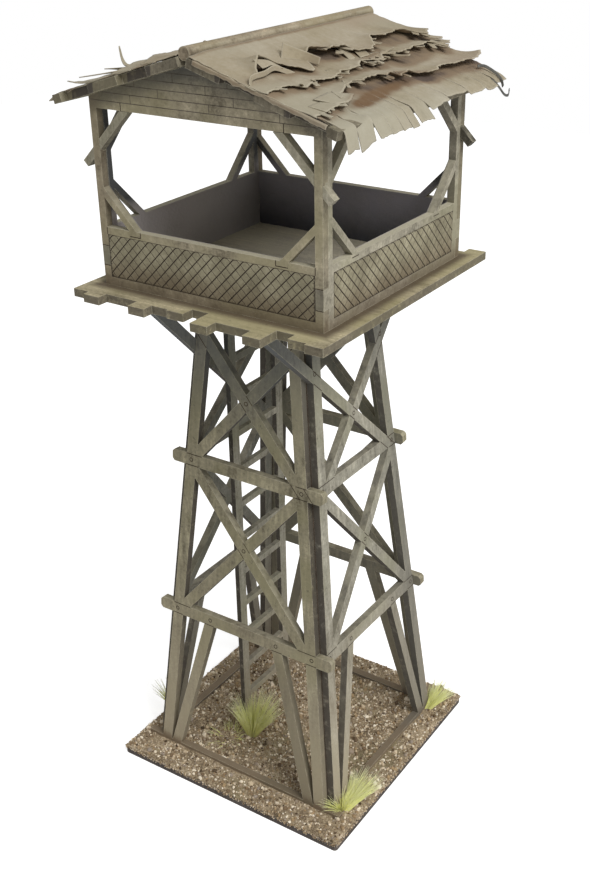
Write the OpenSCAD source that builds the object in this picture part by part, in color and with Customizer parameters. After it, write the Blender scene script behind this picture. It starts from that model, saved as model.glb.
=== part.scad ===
// Tabletop scale model of a timber lookout tower, built from laser-cut board sheets.
// Origin: centre of the base plate's underside. +Z is up. The ridge runs along Y.
// The front gable faces -Y. Every wall and trestle is one flat sheet, as cut.

/* [Sheet stock] */
// Thickness of the board that the sheets are cut from
sheet = 2.8; // [2:0.1:3.6]
// Thickness of the thin stock that the ladder is cut from
ladder_t = 2; // [1:0.1:2.4]
// Play around pieces that slot into one another
fit = 0.15; // [0.05:0.05:0.4]
// Open slit between neighbouring trestle sheets
slit = 0.15; // [0.1:0.05:0.6]

/* [Base] */
// Side of the square base plate
base_side = 100.6; // [94:0.2:120]
// Corner radius of the base plate
base_corner_r = 1.4; // [1:0.1:6]
// How far the base plate is turned under the tower, in degrees
base_turn = 0.5; // [-1.5:0.1:1.5]
// Depth of the glued gravel on the base plate
gravel_t = 1.8; // [0.8:0.1:2.2]
// Bare rim left around the gravel
gravel_rim = 0.6; // [0.2:0.1:2]

/* [Trestle] */
// Height of the trestle, from the base plate to the deck
trestle_h = 193.2; // [185:0.5:200]
// Half width of the front sheet at its feet
foot_x = 39.2; // [36:0.1:41]
// Half width of the front sheet at the deck
head_x = 19.5; // [17:0.1:22]
// Distance from the centre to the front sheet's face at its feet
foot_y = 39.9; // [37:0.1:42]
// Distance from the centre to the front sheet's face at the deck
head_y = 22.8; // [20:0.1:25]
// Width of the legs
leg_w = 4.5; // [3.5:0.1:5.5]
// Width of the horizontal beams
beam_w = 4.6; // [3.6:0.1:5.6]
// Width of the front and back sheets' crossed braces and struts
brace_w = 4.2; // [3.2:0.1:5]
// Width of the side sheets' crossed braces and struts
side_brace_w = 3.7; // [3:0.1:4.6]
// Height of the sill strip at the feet
sill_h = 3.2; // [2:0.1:6]
// Height of the lower beam's middle above the base plate
low_beam_z = 65.2; // [60:0.2:70]
// Height of the upper beam's middle above the base plate
high_beam_z = 128.7; // [124:0.2:134]
// How far the front and back beams and sills run past the legs
stub_out = 6.4; // [3:0.1:8]
// Distance from the middle to where a strut meets the lower beam
strut_in = 15; // [10:0.5:20]
// Height at which the front sheet's top cross meets the legs
front_cross_z = 177; // [172:0.5:184]
// Distance from the middle to the knee brace's middle under the deck
knee_reach = 46.3; // [36:0.1:47]
// How far below the upper beam's middle the side sheets' braces meet the legs
side_drop = 2.6; // [0:0.1:4]
// How far below the upper beam's middle the front sheet's lower cross meets the legs
front_drop = 1.6; // [0:0.1:4]
// How far below the lower beam's middle the front sheet's lower cross meets the legs
front_foot_drop = 1.2; // [0:0.1:2]

/* [Ladder] */
// Place of the ladder's climbing face along X
ladder_x = -14.5; // [-15.4:0.1:-10]
// Width over both stiles
ladder_w = 31.4; // [24:0.2:34]
// Width of a stile
stile_w = 3.9; // [2.5:0.1:5]
// Height of a rung
rung_h = 2.4; // [1.5:0.1:3.5]
// Distance from one rung to the next
rung_pitch = 14.8; // [11:0.1:18]
// Height of the lowest rung above the base plate
rung_first = 15; // [8:0.5:22]

/* [Deck] */
// Half width of the deck across its planks
deck_half = 49.3; // [47:0.1:52]
// Distance from the middle to the shortest plank end
plank_short = 47.5; // [46:0.1:49]
// Number of planks across the deck
planks = 15; // [9:1:21]

/* [Cabin] */
// Width of the walkway beside the cabin
walk_x = 6.25; // [4:0.05:8]
// Width of the walkway before and behind the cabin, at the shortest plank
walk_y = 4.25; // [2:0.05:6]
// Width of a corner post on the front and back sheets
post_w = 2.8; // [2.4:0.1:5]
// Width of a corner post on the side sheets
side_post_w = 2.2; // [1.8:0.1:5]
// Height of the parapet's top rail above the deck
rail_h = 19.8; // [16:0.2:24]
// Underside of the gable beam above the deck
gable_beam_z = 57.5; // [54:0.1:59]
// Underside of the eave beams above the deck
eave_beam_z = 56.2; // [52:0.1:58]
// Width of the lower braces in the cabin walls
cabin_brace_w = 2.2; // [1.6:0.1:4]
// Distance from the middle to a gable wall's lower brace's foot on the rail
rail_brace_in = 28.2; // [20:0.1:31]
// Height of a gable wall's lower brace's head on the post
rail_brace_z = 32.5; // [30:0.1:40]
// Distance from the middle to a side wall's lower brace's foot on the rail
side_brace_in = 24.4; // [18:0.1:28]
// Height of a side wall's lower brace's head on the post
side_brace_z = 33.8; // [30:0.1:40]
// Distance from the middle to a side wall's upper brace under the eave beam
eave_brace_in = 27.5; // [22:0.1:31]
// Distance from the middle to a gable wall's upper brace under the gable beam
beam_brace_in = 28.5; // [24:0.1:31]
// Width of the upper braces
strip_w = 2.5; // [2:0.1:4.4]
// How far the gable walls' upper braces run out past the side walls
strip_out = 3.4; // [2:0.1:7]
// How far off the middle the gable walls' upper braces are cut
brace_slip = -0.45; // [-1:0.05:1]
// Foot of the corner finger joint above the deck
finger_z = 6.8; // [4:0.1:8]
// Height of the corner finger joint
finger_h = 6.7; // [4:0.1:9]

/* [Roof] */
// Height of the roof boards' meeting line above the deck
apex_z = 74; // [70:0.2:80]
// Half width of the roof over its boards
roof_half = 51.5; // [49:0.1:54]
// Height of the roof boards' lower edge above the deck
eave_z = 58.6; // [57:0.1:63]
// Distance from the middle to the short ends of the roof boards
roof_short = 46.8; // [45:0.1:49]
// How far every other roof board stands out
roof_step = 2.8; // [1:0.1:4]
// Width of one roof board
roof_board_w = 12.3; // [8:0.1:16]
// Diameter of the ridge pole
pole_d = 4; // [2.6:0.1:4.6]
// Height of the ridge pole's middle above the boards' meeting line
pole_rise = 3.2; // [3:0.1:4]
// Length of the ridge pole
pole_len = 101; // [96:0.2:106]
// How far the ridge pole is pushed back
pole_back = 2.2; // [0:0.1:4]
// Thickness of one layer of the roof paper
paper_t = 0.5; // [0.3:0.05:0.8]
// How far the lowest paper layer hangs over the eave
paper_hang = 2.6; // [0:0.1:3.5]
// How far down the slope the middle paper layer runs
middle_run = 42; // [36:0.5:48]
// How far down the slope the paper layer along the ridge runs
ridge_run = 23; // [16:0.5:30]
// Depth of the tears along the paper's edges
tear = 2; // [0.5:0.1:3]

/* [Hidden] */

eps = 0.01;
over = 4;                                      // run-out of a cut past its edge
lap = leg_w / 6;                               // how far a brace runs on into the leg it meets
half_lap = sheet / 2;                          // depth to which crossing pieces are halved
tear_step = 4;                                 // distance between the corners of a torn edge
layer_step = 1;                                // how far each paper layer starts below the last
$fn = 48;

// Heights
base_top = sheet;
deck_z = base_top + trestle_h;                 // underside of the deck
floor_z = deck_z + sheet;                      // walking surface

// Half width and half depth of the cabin over its walls
cabin_x = deck_half - walk_x;
cabin_y = plank_short - walk_y;

// Lean of the trestle sheets
front_lean = atan((foot_y - head_y) / trestle_h);
side_lean = atan((foot_x - head_x) / trestle_h);
side_off = sheet / cos(side_lean) + fit;       // side face outside the front legs' edge
end_off = sheet / cos(front_lean) + slit;      // side sheet's edge behind the front face

// Half widths of the two kinds of sheet at a height above the base plate
function front_half(z) = foot_x + (head_x - foot_x) * z / trestle_h;
function side_half(z) = foot_y - end_off + (head_y - foot_y) * z / trestle_h;

// Roof slope
slope = atan((apex_z - eave_z) / roof_half);
roof_run = roof_half / cos(slope);
pole_r = pole_d / 2;
board_start = pole_r + fit - pole_rise * sin(slope);
function roof_under(x) = apex_z - abs(x) * tan(slope);

// How far each plank end stands out past the shortest one, from the left
plank_out = [4.7, 7.2, 3.5, 3.5, 8, 4, 4.7, 0, 9.6, 5.1, 5.1, 9.5, 0.9, 4.7, 5.8];
function plank_end(i) = plank_short + plank_out[i % len(plank_out)];

board_c = [0.55, 0.52, 0.42];
edge_c = [0.42, 0.38, 0.30];
gravel_c = [0.36, 0.29, 0.22];
paper_c = [0.58, 0.55, 0.45];

// A straight bar of width w between two points of a sheet, run on past either end
module bar(p, q, w, run_p = 0, run_q = 0) {
  d = (q - p) / norm(q - p);
  n = [-d[1], d[0]] * w / 2;
  a = p - d * run_p;
  b = q + d * run_q;
  polygon([a + n, a - n, b - n, b + n]);
}

// A level beam whose two ends have their corners taken off
module beam(half, z, w) {
  c = w / 5;
  polygon([
    [-half, z - w / 2 + c], [-half + c, z - w / 2], [half - c, z - w / 2], [half, z - w / 2 + c],
    [half, z + w / 2 - c], [half - c, z + w / 2], [-half + c, z + w / 2], [-half, z + w / 2 - c]]);
}

// Draws its children once on each side of the middle line
module both_sides() {
  children();
  mirror([1, 0]) children();
}

module rounded_square(side, r) {
  square([side - 2 * r, side], center = true);
  square([side, side - 2 * r], center = true);
  for (sx = [-1, 1], sy = [-1, 1])
    translate([sx, sy] * (side / 2 - r)) circle(r);
}

// Stands a flat sheet up on the base plate: turned about Z, face at a distance, leaning in
module leaning_sheet(turn, face, lean) {
  intersection() {
    rotate(turn) translate([0, -face, base_top]) rotate([90 - lean, 0, 0])
      translate([0, 0, -sheet]) linear_extrude(sheet) children();
    translate([-base_side, -base_side, base_top]) cube([2 * base_side, 2 * base_side, trestle_h]);
  }
}

// A leg of level width between the left corners of its foot and its head
module leg(foot, head)
  polygon([foot, foot + [leg_w, 0], head + [leg_w, 0], head]);

// Legs, sill, lower cross and struts, which every trestle sheet has.
// Heights are upright ones, so k gives the longer way up a leaning sheet.
// The braces are w wide. Their feet and heads lie a pair of drops below the beams' middles.
module trestle_common(k, low, high, foot, head, w, drops, sill_half) {
  rise = (head - foot) / trestle_h;
  under = foot - rise * over;
  above = head + rise * over;
  for (s = [-1, 1]) {
    inset = leg_w * (s + 1) / 2;
    leg([s * under - inset, -over * k], [s * above - inset, (trestle_h + over) * k]);
    bar([s * (low - leg_w / 2), (low_beam_z - drops[0]) * k],
      [s * (leg_w / 2 - high), (high_beam_z - drops[1]) * k], w, lap, lap);
    bar([s * (foot - leg_w - w / 2), 0], [s * strut_in, low_beam_z * k], w, lap, lap);
  }
  translate([-sill_half, -over]) square([2 * sill_half, sill_h + over]);
}

module front_sheet() {
  k = 1 / cos(front_lean);
  low = front_half(low_beam_z);
  high = front_half(high_beam_z);
  tip = front_half(front_cross_z);
  drops = [front_foot_drop, front_drop];
  trestle_common(k, low, high, foot_x, head_x, brace_w, drops, foot_x + stub_out);
  beam(low + stub_out, low_beam_z * k, beam_w);
  beam(high + stub_out, high_beam_z * k, beam_w);
  for (s = [-1, 1])
    bar([s * (high - leg_w / 2), high_beam_z * k], [s * (leg_w / 2 - tip), front_cross_z * k],
      brace_w, lap / 2, lap / 2);
}

module side_sheet() {
  k = 1 / cos(side_lean);
  low = side_half(low_beam_z);
  high = side_half(high_beam_z);
  foot = side_half(0);
  drops = [0, side_drop];
  trestle_common(k, low, high, foot, side_half(trestle_h), side_brace_w, drops, foot - leg_w / 2);
  for (b = [[low, low_beam_z], [high, high_beam_z]])
    translate([-b[0] + leg_w / 2, b[1] * k - beam_w / 2]) square([2 * b[0] - leg_w, beam_w]);
  for (s = [-1, 1])
    bar([s * (high - leg_w / 2), (high_beam_z - side_drop) * k], [-s * knee_reach, trestle_h * k],
      side_brace_w, lap / 2, over);
}

module front_trestle() color(board_c) leaning_sheet(0, foot_y, front_lean) front_sheet();
module back_trestle() color(board_c) leaning_sheet(180, foot_y, front_lean) front_sheet();
module right_trestle() color(board_c) leaning_sheet(90, foot_x + side_off, side_lean) side_sheet();
module left_trestle() color(board_c) leaning_sheet(270, foot_x + side_off, side_lean) side_sheet();

module base_plate()
  color(edge_c) rotate(base_turn) linear_extrude(sheet) rounded_square(base_side, base_corner_r);

// Gravel lies around the standing sheets and inside them
module gravel_bed() {
  lean_in = gravel_t * tan(max(front_lean, side_lean));
  wide = sheet / cos(front_lean) + lean_in + 2 * fit;
  color(gravel_c) translate([0, 0, base_top]) linear_extrude(gravel_t) difference() {
    rotate(base_turn) rounded_square(base_side - 2 * gravel_rim, base_corner_r);
    for (s = [-1, 1]) {
      translate([0, s * (foot_y + fit - wide / 2)])
        square([2 * (foot_x + stub_out + fit), wide], center = true);
      translate([s * (foot_x + side_off + fit - wide / 2), 0])
        square([wide, 2 * (side_half(0) + slit + fit)], center = true);
    }
  }
}

module ladder() {
  foot = base_top + gravel_t;
  rung_count = floor((trestle_h - rung_first - rung_h) / rung_pitch) + 1;
  color(board_c) translate([ladder_x - ladder_t, 0, 0]) rotate([90, 0, 90]) linear_extrude(ladder_t) {
    for (s = [-1, 1])
      translate([s * (ladder_w - stile_w) / 2 - stile_w / 2, foot]) square([stile_w, deck_z - foot]);
    for (i = [0 : rung_count - 1])
      translate([-ladder_w / 2 + stile_w / 2, base_top + rung_first + i * rung_pitch])
        square([ladder_w - stile_w, rung_h]);
  }
}

// The deck's plank ends are stepped at the front and, one plank along, at the back
module deck() {
  w = 2 * deck_half / planks;
  shift = len(plank_out) - 1;
  front = [for (i = [0 : planks - 1], s = [0, 1]) [-deck_half + (i + s) * w, -plank_end(i)]];
  back = [for (i = [planks - 1 : -1 : 0], s = [1, 0])
    [-deck_half + (i + s) * w, plank_end(i + shift)]];
  color(board_c) translate([0, 0, deck_z]) linear_extrude(sheet) polygon(concat(front, back));
}

// Front and back wall: parapet, posts, lower braces, beam and boarded gable in one sheet
module gable_sheet() {
  difference() {
    union() {
      translate([-cabin_x, 0]) square([2 * cabin_x, rail_h]);
      polygon([
        [-cabin_x, gable_beam_z], [cabin_x, gable_beam_z], [cabin_x, roof_under(cabin_x)],
        [0, apex_z], [-cabin_x, roof_under(cabin_x)]]);
      both_sides() {
        translate([cabin_x - post_w, 0]) square([post_w, gable_beam_z + eps]);
        bar([cabin_x - post_w / 2, rail_brace_z], [rail_brace_in, rail_h - cabin_brace_w / 2],
          cabin_brace_w);
      }
    }
    both_sides()
      translate([cabin_x - sheet - fit, finger_z]) square([sheet + fit + over, finger_h]);
  }
}

// Side wall: it stands between the gable sheets and sends one finger through each corner
module side_wall_sheet() {
  inner = cabin_y - sheet;
  post_in = inner - side_post_w;
  post_mid = post_in + side_post_w / 2;
  translate([-inner, 0]) square([2 * inner, rail_h]);
  translate([-inner, eave_beam_z]) square([2 * inner, roof_under(cabin_x) - eave_beam_z]);
  both_sides() {
    translate([post_in, 0]) square([side_post_w, eave_beam_z + eps]);
    translate([post_in, finger_z + fit]) square([cabin_y - post_in, finger_h - 2 * fit]);
    bar([post_mid, side_brace_z], [side_brace_in, rail_h - cabin_brace_w / 2], cabin_brace_w);
    bar([post_mid, eave_beam_z - (post_mid - eave_brace_in)],
      [eave_brace_in - sheet, eave_beam_z + sheet], strip_w);
  }
}

// Places an outline upright on the deck: turned about Z, its outer face at a distance, t thick
module standing(turn, face, t)
  rotate(turn) translate([0, -face, floor_z]) rotate([90, 0, 0])
    translate([0, 0, -t]) linear_extrude(t) children();

// The upper braces of a gable wall, as outlines seen from the front
module upper_braces(grow)
  translate([brace_slip, 0]) both_sides() {
    foot = [cabin_x + strip_out, gable_beam_z - (cabin_x + strip_out - beam_brace_in)];
    head = [beam_brace_in - sheet, gable_beam_z + sheet];
    bar(foot, head, strip_w + 2 * grow, grow, grow);
  }

// A gable wall is housed out at the back, to half its thickness, where the upper braces cross it
module gable_wall(turn)
  color(board_c) difference() {
    standing(turn, cabin_y, sheet) gable_sheet();
    standing(turn, cabin_y - half_lap, sheet) upper_braces(fit);
  }

// The upper braces are flush with the wall's face, and thinned to half where they pass behind it
module halved_braces(turn)
  color(edge_c) difference() {
    standing(turn, cabin_y, sheet) upper_braces(0);
    standing(turn, cabin_y + over, half_lap + over) both_sides() {
      translate([cabin_x - post_w - fit, 0]) square([post_w + 2 * fit, gable_beam_z]);
      translate([0, gable_beam_z - fit]) square([cabin_x, over + sheet]);
    }
  }

module side_wall(turn) color(board_c) standing(turn, cabin_x, sheet) side_wall_sheet();

module front_wall() gable_wall(0);
module back_wall() gable_wall(180);
module right_wall() side_wall(90);
module left_wall() side_wall(270);
module front_upper_braces() halved_braces(0);
module back_upper_braces() halved_braces(180);

// Puts what lies flat on one roof slope in place: X runs from the ridge down to the eave
module on_slope(side, lift)
  mirror([side < 0 ? 1 : 0, 0, 0]) translate([0, 0, floor_z + apex_z]) rotate([0, slope, 0])
    translate([0, 0, lift]) children();

// The boards of one slope, every other one standing out at both gables
module roof_boards(side) {
  n = ceil((roof_run - board_start) / roof_board_w);
  at = [for (i = [0 : n]) min(board_start + i * roof_board_w, roof_run)];
  function reach(i) = roof_short + (i % 2 == 0 ? roof_step : 0);
  front = [for (i = [0 : n - 1], s = [0, 1]) [at[i + s], -reach(i)]];
  back = [for (i = [n - 1 : -1 : 0], s = [1, 0]) [at[i + s], reach(i)]];
  color(board_c) on_slope(side, 0) linear_extrude(sheet) polygon(concat(front, back));
}

// A torn edge: an even wander of about one tear, from two waves that don't repeat together
function wander(t, seed) = tear / 2 * (sin(t * 41 + seed * 77) + sin(t * 97 + seed * 131)) / 2;

// One layer of paper from the ridge down to a torn edge
module paper(side, layer, run, half, seed) {
  n = round(2 * half / tear_step);
  start = board_start + fit + layer * layer_step;
  low = [for (i = [0 : n]) [run + wander(i, seed), -half + 2 * half * i / n]];
  m = round((run - start) / tear_step);
  front = [for (i = [0 : m - 1]) [start + (run - start) * i / m, -half + wander(i, seed + 1)]];
  back = [for (i = [m - 1 : -1 : 0]) [start + (run - start) * i / m, half + wander(i, seed + 2)]];
  color(paper_c) on_slope(side, sheet + layer * paper_t)
    linear_extrude(paper_t) polygon(concat(front, low, back));
}

eave_run = roof_run + paper_hang - tear / 2;
paper_half = roof_short + roof_step / 2 - tear;

module left_paper_eave() paper(-1, 0, eave_run, paper_half, 3);
module left_paper_middle() paper(-1, 1, middle_run, paper_half - tear, 5);
module left_paper_ridge() paper(-1, 2, ridge_run, paper_half, 7);
module right_paper_eave() paper(1, 0, eave_run, paper_half, 11);
module right_paper_middle() paper(1, 1, middle_run, paper_half - tear, 13);
module right_paper_ridge() paper(1, 2, ridge_run, paper_half, 17);
module left_roof_boards() roof_boards(-1);
module right_roof_boards() roof_boards(1);

module ridge_pole()
  color(edge_c) translate([0, pole_back, floor_z + apex_z + pole_rise]) rotate([90, 0, 0])
    cylinder(d = pole_d, h = pole_len, center = true);

base_plate();
gravel_bed();
front_trestle();
back_trestle();
left_trestle();
right_trestle();
ladder();
deck();
front_wall();
back_wall();
left_wall();
right_wall();
front_upper_braces();
back_upper_braces();
left_roof_boards();
right_roof_boards();
ridge_pole();
left_paper_eave();
left_paper_middle();
left_paper_ridge();
right_paper_eave();
right_paper_middle();
right_paper_ridge();
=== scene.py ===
# %% [markdown]
# # A weathered lookout tower, table-top size
# The object is a hobby model of a timber lookout tower: flat board sheets, cut, painted and slotted together, with a
# torn paper roof and a base of glued grit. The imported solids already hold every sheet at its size. This lesson adds
# what they lack: paint, burnt lines, grit, fibre tufts and the paper itself.

# %% Load the frame
import math
from types import SimpleNamespace

import bpy
import numpy as np
from mathutils import Matrix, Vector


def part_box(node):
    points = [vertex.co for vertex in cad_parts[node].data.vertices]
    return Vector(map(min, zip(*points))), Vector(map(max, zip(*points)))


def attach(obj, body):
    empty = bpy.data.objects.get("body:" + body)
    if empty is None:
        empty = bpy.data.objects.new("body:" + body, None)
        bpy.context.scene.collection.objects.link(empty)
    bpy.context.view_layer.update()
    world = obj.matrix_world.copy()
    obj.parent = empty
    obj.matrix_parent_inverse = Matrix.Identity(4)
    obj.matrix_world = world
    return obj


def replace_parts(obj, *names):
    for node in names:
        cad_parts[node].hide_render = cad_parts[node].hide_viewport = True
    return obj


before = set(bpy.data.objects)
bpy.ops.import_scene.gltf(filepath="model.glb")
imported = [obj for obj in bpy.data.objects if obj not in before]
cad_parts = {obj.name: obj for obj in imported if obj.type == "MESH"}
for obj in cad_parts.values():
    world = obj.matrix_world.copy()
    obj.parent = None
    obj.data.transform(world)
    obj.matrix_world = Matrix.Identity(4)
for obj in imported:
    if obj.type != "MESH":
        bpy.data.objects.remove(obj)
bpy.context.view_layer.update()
print("nodes in the frame:", len(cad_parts))

# %% [markdown]
# ## Measures
# The frame is in metres, but a model this small is easier to think about in millimetres. So every shape below is
# worked out in millimetres and scaled once, when its mesh is made. Heights and faces are read from the frame, and the
# few inner sizes that a box can't tell, such as the width of a leg, are written down here.

# %% Read the sizes
MM = 0.001


def span(node):
    """Lowest and highest corner of a CAD node in millimetres."""
    low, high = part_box(node)
    return np.array(low) / MM, np.array(high) / MM


BASE_TOP = span("base_plate")[1][2]
BASE_HALF = 50.3
BASE_TURN = 0.5
DECK_UNDER, FLOOR = span("deck")[0][2], span("deck")[1][2]
SHEET = FLOOR - DECK_UNDER
CABIN_X = span("right_wall")[1][0]
CABIN_Y = -span("front_wall")[0][1]
TRESTLE_H = DECK_UNDER - BASE_TOP
FOOT_X, HEAD_X = 39.2, 19.5
FOOT_Y, HEAD_Y = 39.9, 22.8
LEG_W, BEAM_W, BRACE_W, SIDE_BRACE_W = 4.5, 4.6, 4.2, 3.7
LOW_BEAM, HIGH_BEAM, TOP_CROSS = 65.2, 128.7, 177.0
STRUT_IN, KNEE_REACH, STUB_OUT = 15.0, 46.3, 6.4
FRONT_DROPS, SIDE_DROPS = (1.2, 1.6, 0.0), (0.0, 2.6, 2.6)
FRONT_LEAN = math.atan((FOOT_Y - HEAD_Y) / TRESTLE_H)
SIDE_LEAN = math.atan((FOOT_X - HEAD_X) / TRESTLE_H)
SIDE_FOOT = FOOT_X + SHEET / math.cos(SIDE_LEAN) + 0.15
SIDE_EDGE = SHEET / math.cos(FRONT_LEAN) + 0.15
ROOM_X, ROOM_Y = CABIN_X - SHEET, CABIN_Y - SHEET
APEX, EAVE_Z, EAVE_X, ROOF_END = 74.0, 58.6, 51.5, 49.6
SLOPE = math.atan2(APEX - EAVE_Z, EAVE_X)
print(f"base top {BASE_TOP:.1f}, deck {DECK_UNDER:.1f} to {FLOOR:.1f}, cabin {CABIN_X:.2f} by {CABIN_Y:.2f} mm")

# %% [markdown]
# ## Camera
# The picture is a tall frame of 590 by 871 pixels. Its long side stands for the sensor's 36 mm, so a focal length in
# pixels becomes a lens in millimetres by that share. The optical axis passes a little right of and below the middle
# of the picture, which is what the small shift is for.

# %% Place the camera
IMAGE = np.array([590, 871])
FOCAL_PX = 1183.9
AXIS_PX = np.array([302.3, 446.9])
AZIMUTH, ELEVATION, ROLL = 34.31, 27.13, -1.03
CAMERA_AT = np.array([221.56, -317.22, 328.88])
SENSOR = 36.0


def camera_axes(azimuth, elevation, roll):
    """Right, up and back vectors of a camera that looks from an azimuth and elevation, then rolls."""
    a, e, r = np.radians([azimuth, elevation, roll])
    back = np.array([np.sin(a) * np.cos(e), -np.cos(a) * np.cos(e), np.sin(e)])
    right = np.array([np.cos(a), np.sin(a), 0])
    up = np.cross(back, right)
    return np.cos(r) * right + np.sin(r) * up, np.cos(r) * up - np.sin(r) * right, back


scene = bpy.context.scene
camera = bpy.data.objects.new("camera", bpy.data.cameras.new("camera"))
scene.collection.objects.link(camera)
pose = np.eye(4)
pose[:3, :3] = np.column_stack(camera_axes(AZIMUTH, ELEVATION, ROLL))
pose[:3, 3] = CAMERA_AT * MM
camera.matrix_world = Matrix(pose.tolist())
camera.data.sensor_width = SENSOR
camera.data.lens = SENSOR * FOCAL_PX / IMAGE.max()
camera.data.shift_x, camera.data.shift_y = (IMAGE / 2 - AXIS_PX) / IMAGE.max() * np.array([1, -1])
camera.data.clip_start, camera.data.clip_end = 0.01, 20
scene.camera = camera
print(f"lens {camera.data.lens:.2f} mm, shift {camera.data.shift_x:.4f} {camera.data.shift_y:.4f}")

# %% [markdown]
# ## Shader arithmetic
# A paint that is worn, dusty and stained is a sum of masks, and sums read best as Python. One small class wraps a
# socket, its operators add Math nodes, and one method adds a node of any other kind.

# %% The wire class


class Wire:
    """One output socket of a material's tree. Arithmetic on wires and numbers adds the Math nodes that do it."""

    def __init__(self, tree, socket=None):
        self.tree = tree
        self.socket = socket

    def node(self, kind, settings=None, values=None, out=0):
        """Adds a node of any kind: its settings first, then the values or wires of its sockets."""
        made = self.tree.nodes.new(kind)
        for name, value in (settings or {}).items():
            if name == "stops":
                while len(made.color_ramp.elements) < len(value):
                    made.color_ramp.elements.new(1.0)
                for element, (position, colour) in zip(made.color_ramp.elements, value):
                    element.position = position
                    element.color = (*colour, 1)
            else:
                setattr(made, name, value)
        for name, value in (values or {}).items():
            if isinstance(value, Wire):
                self.tree.links.new(value.socket, made.inputs[name])
            else:
                made.inputs[name].default_value = value
        return Wire(self.tree, made.outputs[out])

    def math(self, operation, *operands):
        """A Math node of that operation on wires and numbers."""
        return self.node("ShaderNodeMath", {"operation": operation}, dict(enumerate(operands)))

    def __add__(self, other):
        return self.math("ADD", self, other)

    def __sub__(self, other):
        return self.math("SUBTRACT", self, other)

    def __rsub__(self, other):
        return self.math("SUBTRACT", other, self)

    def __mul__(self, other):
        return self.math("MULTIPLY", self, other)

    def __truediv__(self, other):
        return self.math("DIVIDE", self, other)

    def __abs__(self):
        return self.math("ABSOLUTE", self)

    __radd__ = __add__
    __rmul__ = __mul__

    def rise(self, low, high):
        """0 below low, 1 above high, and a smooth climb between them."""
        settings = {"interpolation_type": "SMOOTHSTEP"}
        return self.node("ShaderNodeMapRange", settings, {"Value": self, "From Min": low, "From Max": high})

    def ramp(self, *stops):
        """The colour at this wire's value, between stops of (position, colour)."""
        return self.node("ShaderNodeValToRGB", {"stops": stops}, {"Fac": self})

    def blend(self, colour, other):
        """The first colour where this wire is 0, the other where it is 1."""
        ends = [c if isinstance(c, Wire) else (*c, 1) for c in (colour, other)]
        settings = {"data_type": "RGBA", "clamp_factor": True}
        return self.node("ShaderNodeMix", settings, {0: self, 6: ends[0], 7: ends[1]}, out=2)

    def noise(self, scale, detail=3.0, roughness=0.55):
        """Noise at this wire's place, about 1/scale metres across."""
        values = {"Vector": self, "Scale": scale, "Detail": detail, "Roughness": roughness}
        return self.node("ShaderNodeTexNoise", None, values)

    def stretch(self, x, y, z):
        """This place with each axis scaled, so that what reads it grows longer along the small ones."""
        return self.node("ShaderNodeMapping", None, {"Vector": self, "Scale": (x, y, z)})

    def axes(self):
        """The three parts of a vector as wires."""
        parts = self.node("ShaderNodeSeparateXYZ", None, {"Vector": self}).socket.node
        return [Wire(self.tree, parts.outputs[i]) for i in range(3)]

    def along(self, direction):
        """How much of this vector lies along a direction, which is fixed or a wire too."""
        values = {0: self, 1: direction if isinstance(direction, Wire) else tuple(direction)}
        return self.node("ShaderNodeVectorMath", {"operation": "DOT_PRODUCT"}, values, out="Value")

    def normal(self):
        """The surface's own normal, without any bump."""
        return self.node("ShaderNodeNewGeometry", out="True Normal")

    def value(self, key):
        """The point attribute of that name."""
        return self.node("ShaderNodeAttribute", {"attribute_name": key}, out="Fac")


print("wire class ready")

# %% [markdown]
# Every finish starts as one Principled shader and the wire of places that its noise grows from. Wires are then fed
# to the shader's sockets by name, and a height wire becomes a bent normal.

# %% Start of a finish


def new_finish(name, roughness, specular=0.25):
    """A material with one Principled shader, and the wire of places on the object that its nodes grow from."""
    material = bpy.data.materials.new(name)
    material.use_nodes = True
    shader = material.node_tree.nodes["Principled BSDF"]
    shader.inputs["Roughness"].default_value = roughness
    shader.inputs["Specular IOR Level"].default_value = specular
    return material, shader, Wire(material.node_tree).node("ShaderNodeTexCoord", out="Object")


def feed(shader, **wires):
    """Links wires to the shader's sockets by name, with underscores for spaces."""
    for name, wire in wires.items():
        wire.tree.links.new(wire.socket, shader.inputs[name.replace("_", " ")])


def relief(wire, height, depth):
    """A normal bent by a height wire, which counts as depth metres deep."""
    return wire.node("ShaderNodeBump", None, {"Strength": 1.0, "Distance": depth, "Height": height}, out="Normal")


def streaky_finish(name, scale, dark, light, roughness=0.9, specular=0.1):
    """A dull finish whose tone wanders between two stops of a ramp."""
    material, shader, place = new_finish(name, roughness, specular)
    feed(shader, Base_Color=place.noise(scale, 3).ramp(dark, light))
    return material


print("shader helpers ready")

# %% [markdown]
# ## Painted board
# Each sheet is fibreboard with a drab khaki coat, brushed along its edges with a paler colour and washed with brown
# near the ground. The sheets' cut edges are dark, because the cutting burnt them. A Bevel node gives a normal that
# turns near an edge, so its angle to the true normal marks where a brush would catch.

# %% Board colours
FRONT_COAT, SIDE_COAT = (0.260, 0.233, 0.155), (0.302, 0.284, 0.226)
WALL_FRONT, WALL_SIDE = (0.350, 0.306, 0.214), (0.325, 0.298, 0.228)
PALE, DUST, UMBER = (0.56, 0.52, 0.39), (0.45, 0.38, 0.27), (0.165, 0.120, 0.076)
# COOL, the room tones, ROOF_SHADE and the leg-top tones are colours of painted light and shade.
COOL, BURNT, CHAR = (0.082, 0.089, 0.091), (0.045, 0.034, 0.025), (0.066, 0.056, 0.046)
# Tones for the faces inside the cabin: painted light and shade of the room under the roof.
GABLE_ROOM_SHADING = (0.030, 0.033, 0.044), (0.240, 0.228, 0.252)
EAVE_ROOM_SHADING = (0.36, 0.33, 0.31), (0.47, 0.43, 0.42)
UPPER_ROOM_SHADE, ROOF_SHADE = (0.072, 0.075, 0.077), (0.040, 0.042, 0.043)
LEG_TOP_SHADES = (0.146, 0.150, 0.148), (0.262, 0.246, 0.198)
STRUT_BROWN, FAR_LEG, ROOM_FLOOR = (0.150, 0.126, 0.082), (0.150, 0.144, 0.122), (0.36, 0.345, 0.32)


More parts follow.
